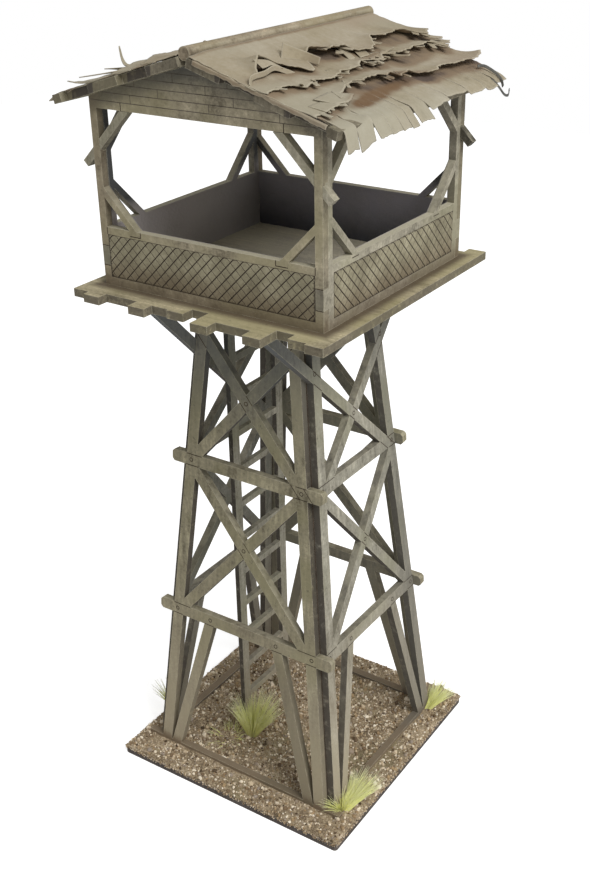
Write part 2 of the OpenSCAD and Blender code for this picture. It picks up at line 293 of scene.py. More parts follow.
def tinted(colour, amount, green=1.0, blue=1.0):
    """A colour made lighter or darker, with its green and blue shares changed."""
    return tuple(c * amount * k for c, k in zip(colour, (1.0, green, blue)))


print("coats, tones and shades of the boards named")

# %% [markdown]
# The paint is laid on in the order a maker would use: a mottled coat, burnt edges, then painted shade and grime where
# the picture has them. Each step below takes the paint so far and gives it back changed. `at` holds the wires that
# they share: the place and its axes, the true normal and three scales of noise.

# %% Coat and edges


def edge_wear(place, radius):
    """About 1 within a radius of an edge, 0 on flat ground: one less how far a bevelled normal agrees."""
    rounded = place.node("ShaderNodeBevel", {"samples": 6}, {"Radius": radius})
    return (1 - rounded.along(place.normal())).rise(0.02, 0.22)


def leg_line(at):
    """Half width of the front and back trestles at this height, in metres."""
    return FOOT_X * MM - (at.z - BASE_TOP * MM) * ((FOOT_X - HEAD_X) / TRESTLE_H)


def base_coat(at, coat, cut):
    """Four tones of one coat, mottled and dragged along the grain, with olive patches and dark specks."""
    paint = (at.mottle * 0.36 + at.fine * 0.30 + at.drag * 0.34).ramp(
        (0.39, tinted(coat, 0.52, 0.98, 0.95)), (0.47, tinted(coat, 0.90)), (0.54, tinted(coat, 1.12)),
        (0.62, tinted(coat, 1.60)),
    )
    olive = at.place.noise(34, 2).rise(0.46, 0.62) * 0.6
    paint = olive.blend(paint, tinted(coat, 0.92, 1.02, 0.86))
    specks = at.place.noise(420, 3, 0.8).rise(0.60, 0.72) * (0.55 * cut)
    return specks.blend(paint, CHAR)


def burnt_edges(at, paint, face, cut, stubs, planks):
    """Cut edges darkened by a share cut; those that look up are less burnt and a little paler.

    With stubs, the ends that stand out past the legs keep their paint. With planks, a width in millimetres, every
    second board's end does, and the dark ends between are painted shade as well as burnt, for boards that sit further
    back.
    """
    flat = abs(at.normal.along(face)).rise(0.55, 0.85)
    level = at.normal.axes()[2].rise(0.12, 0.45)
    burnt = (1 - flat) * at.place.noise(300, 3, 0.7).rise(0.12, 0.5) * cut * (1 - level * 0.6)
    if stubs:
        burnt = burnt * (1 - (abs(at.x) - leg_line(at)).rise(0.0004, 0.0012))
        burnt = burnt * (0.42 + 0.58 * at.z.rise(0.015, 0.090))
    if planks:
        share = at.x.math("FRACT", abs(at.x) / (2 * planks * MM))
        burnt = burnt * (1 - 0.7 * (1 - share.rise(0.49, 0.51)))
    paint = burnt.blend(paint, CHAR)
    return ((1 - flat) * level * at.place.noise(260, 3).rise(0.35, 0.6) * 0.3).blend(paint, PALE)


print("coat and edges ready")

# %% [markdown]
# Each of these steps marks a region by height, by distance from a leg, a wall or the roof, or by the way a face looks,
# and blends one tone into the paint there. Most of these tones are painted shade.

# %% Painted shade and other tones


def cool_head(at, paint, low, high, most, legs):
    """Painted cool shade between two heights; with legs, the legs take their own painted shade, darker on the left."""
    shade = at.z.rise(low * MM, high * MM) * most
    if legs:
        leg = 1 - (leg_line(at) - abs(at.x)).rise(LEG_W * MM - 0.0003, LEG_W * MM + 0.0003)
        paint = (shade * leg * 0.8).blend(paint, at.x.rise(-0.005, 0.005).blend(*LEG_TOP_SHADES))
        shade = shade * (1 - leg)
    return shade.blend(paint, tinted(COOL, 1.25))


def under_roof(at, paint, most):
    """Painted shade on a gable just below the roof boards, and painted brown shade at its left end."""
    depth = (FLOOR + APEX) * MM - abs(at.x) * math.tan(SLOPE) - at.z
    paint = ((1 - (depth - at.mottle * 0.003).rise(-0.0005, 0.0058)) * most).blend(paint, ROOF_SHADE)
    return ((0 - at.x).rise(0.036, 0.042) * 0.35).blend(paint, UMBER)


def odd_legs(at, paint, side):
    """Browner struts at the right of the front trestle, and a darker far leg on the right one."""
    if side == "front":
        strut = (leg_line(at) - LEG_W * MM - at.x).rise(0.0, 0.0006) * at.x.rise(0.006, 0.012)
        paint = (strut * (1 - at.z.rise(0.058, 0.066)) * 0.5).blend(paint, STRUT_BROWN)
    if side == "right":
        paint = (at.y.rise(0.008, 0.030) * 0.6).blend(paint, FAR_LEG)
    return paint


def sooty_inside(at, paint, low, high, growth):
    """Painted light and shade on what faces the room: tones low and high, darker to the back, dark above the rail."""
    near_x, near_y = (
        1 - abs(way).rise((half + 0.1) * MM, (half + 0.4) * MM) for way, half in ((at.x, ROOM_X), (at.y, ROOM_Y))
    )
    dark = (at.z + at.mottle * 0.006).rise((FLOOR + 2) * MM, (FLOOR + 22) * MM).blend(low, high)
    dark = (at.y.rise(-0.008, CABIN_Y * MM) * growth).blend(dark, GABLE_ROOM_SHADING[0])
    dark = at.z.rise((FLOOR + 22) * MM, (FLOOR + 27) * MM).blend(dark, UPPER_ROOM_SHADE)
    return (near_x * near_y * (0.76 + 0.34 * at.mottle)).blend(paint, dark)


def room_floor(at, paint):
    """Greyer paint between the walls, and a dark brown band along the foot of the walls outside."""
    within = (1 - abs(at.x).rise(ROOM_X * MM, (ROOM_X + 1) * MM)) * at.y.rise(-CABIN_Y * MM, (1 - CABIN_Y) * MM)
    paint = (within * 0.5).blend(paint, ROOM_FLOOR)
    off_wall = at.x.math("MAXIMUM", abs(at.x) - CABIN_X * MM, abs(at.y) - CABIN_Y * MM)
    grime = off_wall.rise(-0.0010, 0.0) * (1 - (off_wall - at.fine * 0.002).rise(0.0, 0.0042)) * 0.9
    return grime.blend(paint, tinted(UMBER, 0.6))


print("shade, soot and grime ready")

# %% [markdown]
# One finish runs the steps in order and leaves out those that a board doesn't ask for. Last of all it brushes the
# edges pale and bends the normal a little with the fine noise.

# %% Board finish


def board_finish(name, face, coat, cut=0.9, grain=(1, 1, 0.08), foot=None, head=None, side="", back=0.0, stubs=False,
                 soot=None, band=None, tops=0.0, under=0.0, planks=0.0, room=False):
    """Drab paint with burnt cut edges and pale brushed edges.

    face is the sheet's own direction, cut says how dark its cut edges are, and grain is small along the brush strokes.
    Dust fades out over the pair of heights foot, cool shade grows over the pair that starts head, and brown grime
    fades out over the pair band. back is how far faces that look the other way fall into cool shade, and tops how
    far faces that look up are painted pale, a painted highlight where light falls on them. The rest is handed to the
    steps above.
    """
    material, shader, place = new_finish(name, 0.82)
    x, y, z = place.axes()
    mottle, fine, drag = place.noise(75, 4), place.noise(900, 3, 0.7), place.stretch(*grain).noise(620, 3, 0.6)
    at = SimpleNamespace(place=place, x=x, y=y, z=z, normal=place.normal(), mottle=mottle, fine=fine, drag=drag)
    paint = base_coat(at, coat, cut)
    if foot:
        paint = ((1 - (z + mottle * 0.03).rise(foot[0] * MM, foot[1] * MM)) * 0.75).blend(paint, DUST)
    paint = burnt_edges(at, paint, face, cut, stubs, planks)
    if foot:
        mud = (1 - (z + fine * 0.003).rise((foot[0] + 4.5) * MM, (foot[0] + 8) * MM)) * 0.85
        paint = mud.blend(paint, tinted(UMBER, 1.2))
    # Faces that look up get a painted highlight.
    if tops:
        paint = (at.normal.axes()[2].rise(0.6, 0.9) * tops).blend(paint, PALE)
    if head:
        paint = cool_head(at, paint, *head, stubs)
    if under:
        paint = under_roof(at, paint, under)
    paint = odd_legs(at, paint, side)
    if back:
        paint = ((0 - at.normal.along(face)).rise(0.2, 0.6) * back).blend(paint, tinted(COOL, 1.7))
    if band:
        paint = ((1 - (z + fine * 0.002).rise(band[0] * MM, band[1] * MM)) * 0.6).blend(paint, UMBER)
    if soot:
        paint = sooty_inside(at, paint, *soot)
    if room:
        paint = room_floor(at, paint)
    worn = edge_wear(place, 0.0005) * place.noise(330, 3).rise(0.33, 0.58)
    paint = (worn * 0.62).blend(paint, PALE)
    feed(shader, Base_Color=paint, Roughness=0.92 - 0.18 * mottle, Normal=relief(place, fine + drag * 0.6, 0.00015))
    return material


def dress(node, *look, **more):
    """Gives a CAD node one board finish on all of its slots."""
    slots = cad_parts[node].data.materials
    slots.clear()
    slots.append(board_finish(*look, **more))
    print(node, "painted")


def turned(vector, turn):
    """A vector or an array of points turned about Z by degrees."""
    c, s = np.cos(np.radians(turn)), np.sin(np.radians(turn))
    return np.asarray(vector) @ np.array([[c, s, 0], [-s, c, 0], [0, 0, 1]])


print("board finish ready")

# %% [markdown]
# Every board gets a finish of its own. The four trestles share one call and so do the four walls, turned about Z.

# %% Dress the boards
SIDES = {"front": 0, "right": 90, "back": 180, "left": 270}
UPWARD, PLANK_W = (0, 0, 1), 11.6
for side, turn in SIDES.items():
    gable = turn % 180 == 0
    lean = FRONT_LEAN if gable else SIDE_LEAN
    head = (DECK_UNDER - 62, DECK_UNDER - 6, 0.85) if gable else (DECK_UNDER - 38, DECK_UNDER - 4, 0.8)
    dress(
        f"{side}_trestle", f"{side}_trestle_paint", turned([0, -math.cos(lean), math.sin(lean)], turn),
        FRONT_COAT if gable else SIDE_COAT, foot=(BASE_TOP, BASE_TOP + 115), head=head, side=side, back=0.36,
        stubs=gable,
    )
    dress(
        f"{side}_wall", f"{side}_wall_paint", turned([0, -1, 0], turn), WALL_FRONT if gable else WALL_SIDE, 0.4,
        (0.4, 0.4, 0.4), head=(FLOOR + 61, FLOOR + 78, 0.8), band=(FLOOR + 1, FLOOR + 8), tops=0.85,
        soot=(*GABLE_ROOM_SHADING, 0.0) if gable else (*EAVE_ROOM_SHADING, 0.5), under=0.56 if gable else 0.0,
    )
ladder_coat, ladder_foot = tinted(SIDE_COAT, 1.15), (BASE_TOP, BASE_TOP + 90)
dress("ladder", "ladder_paint", (1, 0, 0), ladder_coat, foot=ladder_foot, head=(130, 195, 0.75))
# The back braces' darker tone is painted shade, as they stand at the back of the cabin under the roof.
for side, tone, cut in (("front", 1.0, 0.3), ("back", 0.30, 0.6)):
    dress(f"{side}_upper_braces", f"{side}_brace_paint", (0, 1, 0), tinted(WALL_SIDE, tone), cut)
# Every second roof board's end is left light; the dark ends between are partly painted shade.
for side, sign in (("left", -1), ("right", 1)):
    slope_way = (sign * math.sin(SLOPE), 0, math.cos(SLOPE))
    dress(f"{side}_roof_boards", f"{side}_roof_paint", slope_way, tinted(WALL_FRONT, 0.62), 0.95, planks=PLANK_W)
dress("base_plate", "base_paint", UPWARD, tinted(CHAR, 1.6, 1.0, 1.12), 0.35)
dress("ridge_pole", "pole_paint", UPWARD, tinted(WALL_SIDE, 0.98, 0.90, 0.82), 0.0, (1, 0.06, 1))
dress("deck", "deck_paint", UPWARD, tinted(WALL_SIDE, 1.36, 0.95, 0.80), 0.74, (0.06, 1, 1), room=True)

# %% [markdown]
# ## Mesh helpers
# Nearly everything new is a sheet: a grid of points in space. A thin sheet such as paper is closed by giving it a
# second side and a rim. Points are numpy arrays from start to end, and the faces follow from the grid's row length.

# %% Grids and sheets


def grid_faces(rows, cols):
    """Quads of a grid whose points run along the columns first."""
    first = np.arange(rows - 1)[:, None] * cols + np.arange(cols - 1)
    return np.stack([first, first + 1, first + cols + 1, first + cols], -1).reshape(-1, 4)


def thick_sheet(points, thickness):
    """A closed sheet: the grid moved half a thickness each way along its normal, and a rim of quads round it."""
    rows, cols = points.shape[:2]
    normal = np.cross(np.gradient(points, axis=1), np.gradient(points, axis=0))
    normal /= np.maximum(np.linalg.norm(normal, axis=-1, keepdims=True), 1e-9)
    shift = normal * thickness / 2
    corners = np.concatenate([(points + shift).reshape(-1, 3), (points - shift).reshape(-1, 3)])
    index = np.arange(rows * cols).reshape(rows, cols)
    loop = np.concatenate([index[0, :-1], index[:-1, -1], index[-1, :0:-1], index[:0:-1, 0]])
    after = np.roll(loop, -1)
    under = rows * cols
    rim = np.stack([loop + under, after + under, after, loop], -1)
    top = grid_faces(rows, cols)
    return corners, np.concatenate([top, top[:, ::-1] + under, rim])


def joined(parts):
    """Several (points, faces) pairs as one pair."""
    starts = np.cumsum([0] + [len(points) for points, _ in parts[:-1]])
    return np.concatenate([p for p, _ in parts]), np.concatenate([f + s for (_, f), s in zip(parts, starts)])


def add_piece(name, points, faces, material, slot, smooth=False, values=None):
    """A mesh object at the origin from points in millimetres, on the one body, with values as point attributes."""
    mesh = bpy.data.meshes.new(name)
    mesh.from_pydata((np.asarray(points) * MM).tolist(), [], np.asarray(faces).tolist())
    mesh.polygons.foreach_set("use_smooth", np.full(len(mesh.polygons), smooth))
    for key, data in (values or {}).items():
        mesh.attributes.new(key, "FLOAT", "POINT").data.foreach_set("value", np.asarray(data, np.float32).ravel())
    mesh.materials.append(material)
    piece = bpy.data.objects.new(name, mesh)
    scene.collection.objects.link(piece)
    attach(piece, "root")
    print(f"{name}: {len(mesh.vertices)} points, {len(faces) * (np.shape(faces)[1] - 2)} triangles")
    return piece


# %% [markdown]
# ## Lattice on the parapets
# Each parapet carries a cut pattern of crossed battens: one set of slanting lines is deep and dark, the other is only
# scratched. The surface is a grid that runs along the two slanting directions, so the lines fall on grid lines and
# stay crisp. Points beyond the panel are pulled back to its border, and faces that lose all their area there are
# dropped.

# %% Lattice panels
LATTICE_PITCH = 3.75
LATTICE_LOW, LATTICE_HIGH = 3.0, 17.4
DEEP, SHALLOW = (0.19, 0.31), (0.12, 0.21)
PANEL_RISE = 0.14
GABLE_INSET, EAVE_INSET = 2.9, 2.8


def line_samples(low, high, pitch, core, bank):
    """Places across a family of lines: each line's flat bottom, the tops of its banks and the land's middle."""
    lines = np.arange(math.floor(low / pitch), math.ceil(high / pitch) + 1) * pitch
    places = lines[:, None] + np.array([-bank, -core, core, bank, pitch / 2])
    land = np.tile([1.0, 0.0, 0.0, 1.0, 1.0], len(lines))
    return places.ravel(), land


def lattice_panel(half, hand):
    """Along, up and rise of a lattice from -half to half: the rise is 0 in a deep line and part way in a scratch."""
    reach = half + LATTICE_HIGH
    a, land_a = line_samples(-reach, reach, LATTICE_PITCH, *DEEP)
    b, land_b = line_samples(-reach, reach, LATTICE_PITCH, *SHALLOW)
    aa, bb = np.meshgrid(a, b, indexing="ij")
    along = np.clip(hand * (aa + bb) / 2, -half, half)
    up = np.clip((bb - aa) / 2 + LATTICE_LOW, LATTICE_LOW, LATTICE_HIGH)
    border = np.minimum.reduce([half - abs(along), up - LATTICE_LOW, LATTICE_HIGH - up])
    land = np.minimum(land_a[:, None], 0.25 + 0.75 * land_b) * np.clip(border / 0.2, 0, 1)
    return along, up, land


def area_of(points, faces):
    """Area of each quad from the cross product of its diagonals."""
    a, b, c, d = (points[faces[:, i]] for i in range(4))
    return np.linalg.norm(np.cross(c - a, d - b), axis=1) / 2


print("lattice surface ready")

# %% [markdown]
# The value `land` is 0 in a deep line and 1 beside it, and the paint turns burnt brown as it falls.

# %% Paint and place the lattice
lattice, lattice_shader, place = new_finish("lattice_paint", 0.85)
groove = 1 - place.value("land")
coat = (place.noise(110, 4) * 0.7 + place.noise(900, 2) * 0.3).ramp(
    (0.36, (0.20, 0.178, 0.118)), (0.52, (0.29, 0.262, 0.176)), (0.66, (0.40, 0.365, 0.255))
)
coat = ((1 - place.axes()[2].rise((FLOOR + 3) * MM, (FLOOR + 13) * MM)) * 0.6).blend(coat, UMBER)
coat = groove.rise(0.2, 0.9).blend(coat, BURNT)
feed(lattice_shader, Base_Color=coat, Normal=relief(place, place.noise(900, 3), 0.00012))

for side, turn in SIDES.items():
    gable = turn % 180 == 0
    half, out, hand = (CABIN_X - GABLE_INSET, CABIN_Y, 1) if gable else (ROOM_Y - EAVE_INSET, CABIN_X, -1)
    along, up, land = lattice_panel(half, hand)
    points = np.stack([along, -out - 0.01 - PANEL_RISE * land, FLOOR + up], -1).reshape(-1, 3)
    faces = grid_faces(*along.shape)
    faces = faces[area_of(points, faces) > 1e-4][:, ::hand]
    used, faces = np.unique(faces, return_inverse=True)
    values = {"land": land.ravel()[used]}
    faces = faces.reshape(-1, 4)
    add_piece(f"{side}_lattice", turned(points[used], turn), faces, lattice, "painted_board", values=values)

# %% [markdown]
# ## Burnt lines
# The cutter also burnt fine lines into the faces, so that one flat sheet looks like timbers laid over one another: a
# line on both sides of every lap, a ring for every bolt, and the courses of the gable boards. A line is a flat ribbon
# on the face, a hair proud of it. A lap's lines are the upper timber's edges, clipped to the lower timber's band.

# %% Laps and rings
LINE_W, FINE_W, LINE_RISE, BOLT_R = 0.3, 0.2, 0.03, 0.68
KNEE_BOLT = (21.0, 170.5)


def bar(p, q, width):
    """A timber in a sheet's plane, as its two ends and its width."""
    return np.array(p, float), np.array(q, float), width


def lap(over, under, edges=(-1, 1)):
    """Segments along the edges of one timber, inside the band of the timber below it."""
    p, q, width = over
    along = (q - p) / np.linalg.norm(q - p)
    across = np.array([-along[1], along[0]])
    base, tip, band = under
    way = (tip - base) / np.linalg.norm(tip - base)
    side = np.array([-way[1], way[0]])
    made = []
    for edge in edges:
        start = p + across * edge * (width / 2 - LINE_W / 2)
        near, far = (((s * band / 2) - side @ (start - base)) / (side @ along) for s in (-1, 1))
        made.append((start + along * near, start + along * far))
    return made


def ribbons(segments, width):
    """Corners and faces of one flat quad per segment, in a sheet's plane."""
    ends = np.asarray(segments, float)
    way = ends[:, 1] - ends[:, 0]
    way /= np.linalg.norm(way, axis=1, keepdims=True)
    off = np.stack([-way[:, 1], way[:, 0]], -1) * width / 2
    corners = np.stack([ends[:, 0] - off, ends[:, 1] - off, ends[:, 1] + off, ends[:, 0] + off], 1)
    return corners.reshape(-1, 2), np.arange(len(ends) * 4).reshape(-1, 4)


def rings(centres, radius, width, count=20):
    """Corners and faces of flat rings in a sheet's plane."""
    angle = np.arange(count) * 2 * np.pi / count
    circle = np.stack([np.cos(angle), np.sin(angle)], -1)
    one = np.concatenate([circle * (radius - width / 2), circle * (radius + width / 2)])
    corners = np.asarray(centres, float)[:, None] + one
    i = np.arange(count)
    after = (i + 1) % count
    quad = np.stack([i, i + count, after + count, after], -1)
    faces = quad + np.arange(len(centres))[:, None, None] * 2 * count
    return corners.reshape(-1, 2), faces.reshape(-1, 4)


print("laps and rings ready")

# %% [markdown]
# Lines are drawn in a sheet's own plane and then laid on its face. A trestle leans, and a wall stands upright.

# %% From the plane to the face


def on_trestle(points, turn):
    """Points of a trestle sheet's face, from distances along it and heights above the base plate."""
    foot, head = (FOOT_Y, HEAD_Y) if turn % 180 == 0 else (SIDE_FOOT, SIDE_FOOT - FOOT_X + HEAD_X)
    out = foot + (head - foot) * points[:, 1] / TRESTLE_H + LINE_RISE
    return turned(np.stack([points[:, 0], -out, BASE_TOP + points[:, 1]], -1), turn)


def on_wall(points, turn):
    """Points of a cabin wall's face, from distances along it and heights above the deck."""
    out = CABIN_Y if turn % 180 == 0 else CABIN_X
    return turned(np.stack([points[:, 0], np.full(len(points), -out - LINE_RISE), FLOOR + points[:, 1]], -1), turn)


def both(p, q):
    """A segment and its mirror image."""
    return [((s * p[0], p[1]), (s * q[0], q[1])) for s in (-1, 1)]


print("faces ready")

# %% [markdown]
# A trestle's timbers follow from its half width at each height. Beams lie over legs, struts and most braces, and
# rings mark the bolts where braces cross and where beams meet legs and struts.

# %% Lines on the trestle sheets


def trestle_lines(half, width, drops, stub, top):
    """Lap lines and ring centres of a sheet, whose half width at a height is half.

    drops says how far the lower braces' feet and heads lie below the beams' middles, and top where the upper braces
    end.
    """
    low, high = half(LOW_BEAM), half(HIGH_BEAM)
    mid = LEG_W / 2
    legs = [bar(p, q, LEG_W) for p, q in both((half(0) - mid, 0), (half(TRESTLE_H) - mid, TRESTLE_H))]
    beams = [bar((-b - stub, z), (b + stub, z), BEAM_W) for b, z in ((low, LOW_BEAM), (high, HIGH_BEAM))]
    lower = [
        bar(p, q, width) for p, q in both((high - mid, HIGH_BEAM - drops[1]), (mid - low, LOW_BEAM - drops[0]))
    ]
    upper = [bar(p, q, width) for p, q in both(top, (mid - high, HIGH_BEAM - drops[2]))]
    struts = [bar(p, q, width) for p, q in both((half(0) - LEG_W - width / 2, 0), (STRUT_IN, LOW_BEAM))]
    made = [line for beam in beams for leg in legs for line in lap(beam, leg)]
    made += [line for strut in struts for line in lap(beams[0], strut, (-1,))]
    made += [line for brace in lower for line in lap(beams[0], brace, (1,)) + lap(beams[1], brace, (-1,))]
    for over, under, edges in (
        (lower[0], lower[1], (-1, 1)), (upper[0], upper[1], (-1, 1)), (beams[1], upper[1], (1,)),
        (upper[0], beams[1], (-1, 1)), (upper[0], legs[0], (-1, 1)), (upper[1], legs[1], (-1, 1)),
    ):
        made += lap(over, under, edges)
    bolts = [(0, np.interp(0, (p[0], q[0]), (p[1], q[1]))) for p, q, _ in (lower[0], upper[0])]
    for x, z in ((low - mid + 0.4, LOW_BEAM), (STRUT_IN, LOW_BEAM), (high - mid, HIGH_BEAM)):
        bolts += [(-x, z), (x, z)]
    return made, bolts


scorch = streaky_finish("scorched_line", 500, (0.3, BURNT), (0.7, tinted(BURNT, 2.0)))
faint = streaky_finish("faint_line", 260, (0.35, tinted(CHAR, 1.1)), (0.65, tinted(CHAR, 2.2)))


def add_lines(name, segments, bolts, to_face, turn, width=LINE_W, finish=scorch):
    """One piece of burnt lines and rings, laid on a face by the function that knows it."""
    points, faces = joined([ribbons(segments, width)] + ([rings(bolts, BOLT_R, width)] if bolts else []))
    add_piece(name, to_face(points, turn), faces, finish, "painted_board")


def tapering(foot, head):
    """The half width of a sheet as a function of height."""
    return lambda z: foot + (head - foot) * z / TRESTLE_H


for side, turn in SIDES.items():
    if turn % 180 == 0:
        half = tapering(FOOT_X, HEAD_X)
        made, bolts = trestle_lines(half, BRACE_W, FRONT_DROPS, STUB_OUT, (half(TOP_CROSS) - LEG_W / 2, TOP_CROSS))
    else:
        half = tapering(FOOT_Y - SIDE_EDGE, HEAD_Y - SIDE_EDGE)
        made, bolts = trestle_lines(half, SIDE_BRACE_W, SIDE_DROPS, 0.0, (KNEE_REACH, TRESTLE_H))
        bolts += [(s * KNEE_BOLT[0], KNEE_BOLT[1]) for s in (-1, 1)]
    add_lines(f"{side}_trestle_lines", made, bolts, on_trestle, turn)

# %% [markdown]
# The four sheets of the tower only touch at their corners, so a bead of dark glue closes each seam. A bead is a square
# rod along the seam, which leans both ways.

# %% Glue in the corners
BEAD = 0.16
seam_foot = np.array([FOOT_X + 0.08, -FOOT_Y + SIDE_EDGE - 0.08, BASE_TOP + 1.0])
seam_head = np.array([HEAD_X + 0.08, -HEAD_Y + SIDE_EDGE - 0.08, DECK_UNDER - 0.1])
square = np.array([(1, 0, 0), (0, 1, 0), (-1, 0, 0), (0, -1, 0)]) * BEAD * 1.4
rod = np.concatenate([seam_foot + square, seam_head + square])
rod_faces = np.array([(0, 1, 5, 4), (1, 2, 6, 5), (2, 3, 7, 6), (3, 0, 4, 7), (3, 2, 1, 0), (4, 5, 6, 7)])
beads = [(rod * np.array([sx, sy, 1]), rod_faces[:, :: sx * sy]) for sx in (-1, 1) for sy in (-1, 1)]
add_piece("corner_glue", *joined(beads), scorch, "painted_board")

# %% [markdown]
# On the walls the lines are the gable's courses, which end where the roof boards lie on them, the butt joints of the
# boards, and the laps of the braces on rails and posts.

# %% Lines on the walls
COURSES = (60.0, 62.6, 65.2, 67.7, 70.3)
BUTTS = ((-26, 0), (4, 0), (29, 0), (-15, 1), (13, 1), (-24, 2), (3, 2), (21, 2), (-9, 3), (11, 3))
RAIL_LOW, RAIL_TOP, POST_LINE = 17.4, 19.8, 40.25
FOOT_LAP, SIDE_LAP = RAIL_TOP - 1.7, RAIL_TOP - 0.9
reaches = [(z, min(CABIN_X, (APEX - z) / math.tan(SLOPE)) - 0.3) for z in COURSES]
courses = [((-reach, z), (reach, z)) for z, reach in reaches]
courses += [((x, COURSES[i]), (x, COURSES[i + 1])) for x, i in BUTTS]
gable_laps = both((POST_LINE, RAIL_LOW), (POST_LINE, RAIL_TOP))
gable_laps += both((26.2, FOOT_LAP), (30.6, FOOT_LAP)) + both((26.2, FOOT_LAP), (26.2, RAIL_TOP))
gable_laps += both((30.2, 57.4), (30.2, 60.0))
gable_laps += [line for z in (6.8, 13.5) for line in both((ROOM_X, z), (CABIN_X, z))]
side_laps = both((23.6, SIDE_LAP), (27.4, SIDE_LAP))
for side, turn in SIDES.items():
    gable = turn % 180 == 0
    add_lines(f"{side}_wall_lines", gable_laps if gable else side_laps, [], on_wall, turn)
    if gable:
        add_lines(f"{side}_courses", courses, [], on_wall, turn, FINE_W, faint)

# %% [markdown]
# ## Ground of glued grit
# The base is spread with sand and small stones set in glue. The ground itself is one height surface: it thins out at
# the plate's rim, heaps a little against the sills, and rolls gently. Thousands of loose grains lie in it, each a
# twenty-sided stone.

# %% Ground surface


def lumps(x, y, cell, seed):
    """Smooth random hills about one cell across: random heights on a square net, blended by a smooth step."""
    net = np.random.default_rng(seed).uniform(-1, 1, (128, 128))
    gx, gy = x / cell + 64, y / cell + 64
    i, j = np.floor(gx).astype(int), np.floor(gy).astype(int)
    fx, fy = gx - i, gy - j
    fx, fy = fx * fx * (3 - 2 * fx), fy * fy * (3 - 2 * fy)
    near = net[i, j] * (1 - fx) + net[i + 1, j] * fx
    far = net[i, j + 1] * (1 - fx) + net[i + 1, j + 1] * fx
    return near * (1 - fy) + far * fy


def off_sill(x, y):
    """Distance from the nearest sill's middle line."""
    return np.minimum(abs(abs(x) - SIDE_FOOT + SHEET / 2), abs(abs(y) - FOOT_Y + SHEET / 2))


def ground_height(x, y):
    """Depth of the grit over the plate: thin at the rim, a bank against each sill, hills of three sizes."""
    rim = BASE_HALF - np.maximum(abs(x), abs(y))
    bank = np.exp(-((off_sill(x, y) / 4.0) ** 2))
    hills = 0.35 * lumps(x, y, 9, 1) + 0.22 * lumps(x, y, 3.1, 2) + 0.16 * lumps(x, y, 1.2, 3)
    return np.clip(rim / 2.5, 0, 1) ** 0.5 * (1.5 + 0.5 * bank + hills)


print("ground height ready")

# %% [markdown]
# The surface is a square grid of heights that takes the place of the flat gravel bed. Its sandy finish has olive
# patches.

# %% Lay the ground
ticks = np.linspace(-BASE_HALF + 0.1, BASE_HALF - 0.1, 202)
gx, gy = np.meshgrid(ticks, ticks)
ground = np.stack([gx, gy, BASE_TOP + 0.02 + ground_height(gx, gy)], -1)

earth, earth_shader, place = new_finish("grit_paint", 0.95, 0.1)
sand = (place.noise(1500, 2, 0.8) * 0.6 + place.noise(160, 3) * 0.4).ramp(
    (0.32, (0.085, 0.062, 0.040)), (0.45, (0.30, 0.228, 0.145)), (0.56, (0.50, 0.395, 0.26)),
    (0.68, (0.82, 0.70, 0.54)),
)
olive = place.noise(38, 3).rise(0.52, 0.68) * 0.5
sand = olive.blend(sand, (0.26, 0.225, 0.12))
feed(earth_shader, Base_Color=sand, Normal=relief(place, place.noise(1300, 4, 0.8), 0.0006))
ground_piece = add_piece(
    "gravel_ground", turned(ground.reshape(-1, 3), BASE_TURN), grid_faces(*gx.shape), earth, "gravel", True
)
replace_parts(ground_piece, "gravel_bed")

# %% [markdown]
# A grain is an icosahedron with its corners pushed in and out, squashed, turned and sized by its own random numbers.
# All grains are worked out at once: an array of grain by corner by axis.

# %% Stones
GOLD = (1 + 5**0.5) / 2
SILL_END = 43
ICO = np.array([[0, s, t * GOLD] for s in (-1, 1) for t in (-1, 1)])
ICO = np.concatenate([ICO, ICO[:, [2, 0, 1]], ICO[:, [1, 2, 0]]]) / math.hypot(1, GOLD)


def hull_faces(points):
    """The triangles of a small regular solid: triples of corners at the shortest distance, wound outwards."""
    gap = np.linalg.norm(points[:, None] - points, axis=-1)
    near = (gap > 0) & (gap < gap[gap > 0].min() * 1.1)
    i, j, k = np.nonzero(near[:, :, None] & near[None] & near[:, None, :])
    tri = np.stack([i, j, k], -1)[(i < j) & (j < k)]
    a, b, c = (points[tri[:, n]] for n in range(3))
    inward = np.einsum("ij,ij->i", np.cross(b - a, c - a), a) < 0
    tri[inward] = tri[inward][:, ::-1]
    return tri


def random_turns(rng, count):
    """Evenly random rotation matrices, from unit quaternions."""
    q = rng.normal(size=(count, 4))
    w, x, y, z = (q / np.linalg.norm(q, axis=1, keepdims=True)).T
    return np.stack([
        1 - 2 * (y * y + z * z), 2 * (x * y - z * w), 2 * (x * z + y * w),
        2 * (x * y + z * w), 1 - 2 * (x * x + z * z), 2 * (y * z - x * w),
        2 * (x * z - y * w), 2 * (y * z + x * w), 1 - 2 * (x * x + y * y)], -1).reshape(-1, 3, 3)


def stones(rng, radius, squash=None):
    """Corners of rough, turned stones about the origin: grain by corner by axis, squashed within two limits."""
    count = len(radius)
    shape = ICO * rng.uniform(0.72, 1.2, (count, len(ICO), 1))
    if squash:
        shape = shape * rng.uniform(*squash, (count, 1, 3))
    return np.einsum("nij,ncj->nci", random_turns(rng, count), shape) * radius[:, None, None]


print("stones ready")

# %% [markdown]
# Each grain has one random tone, from dark earth to near white. Grains that would lie on a sill are left out.

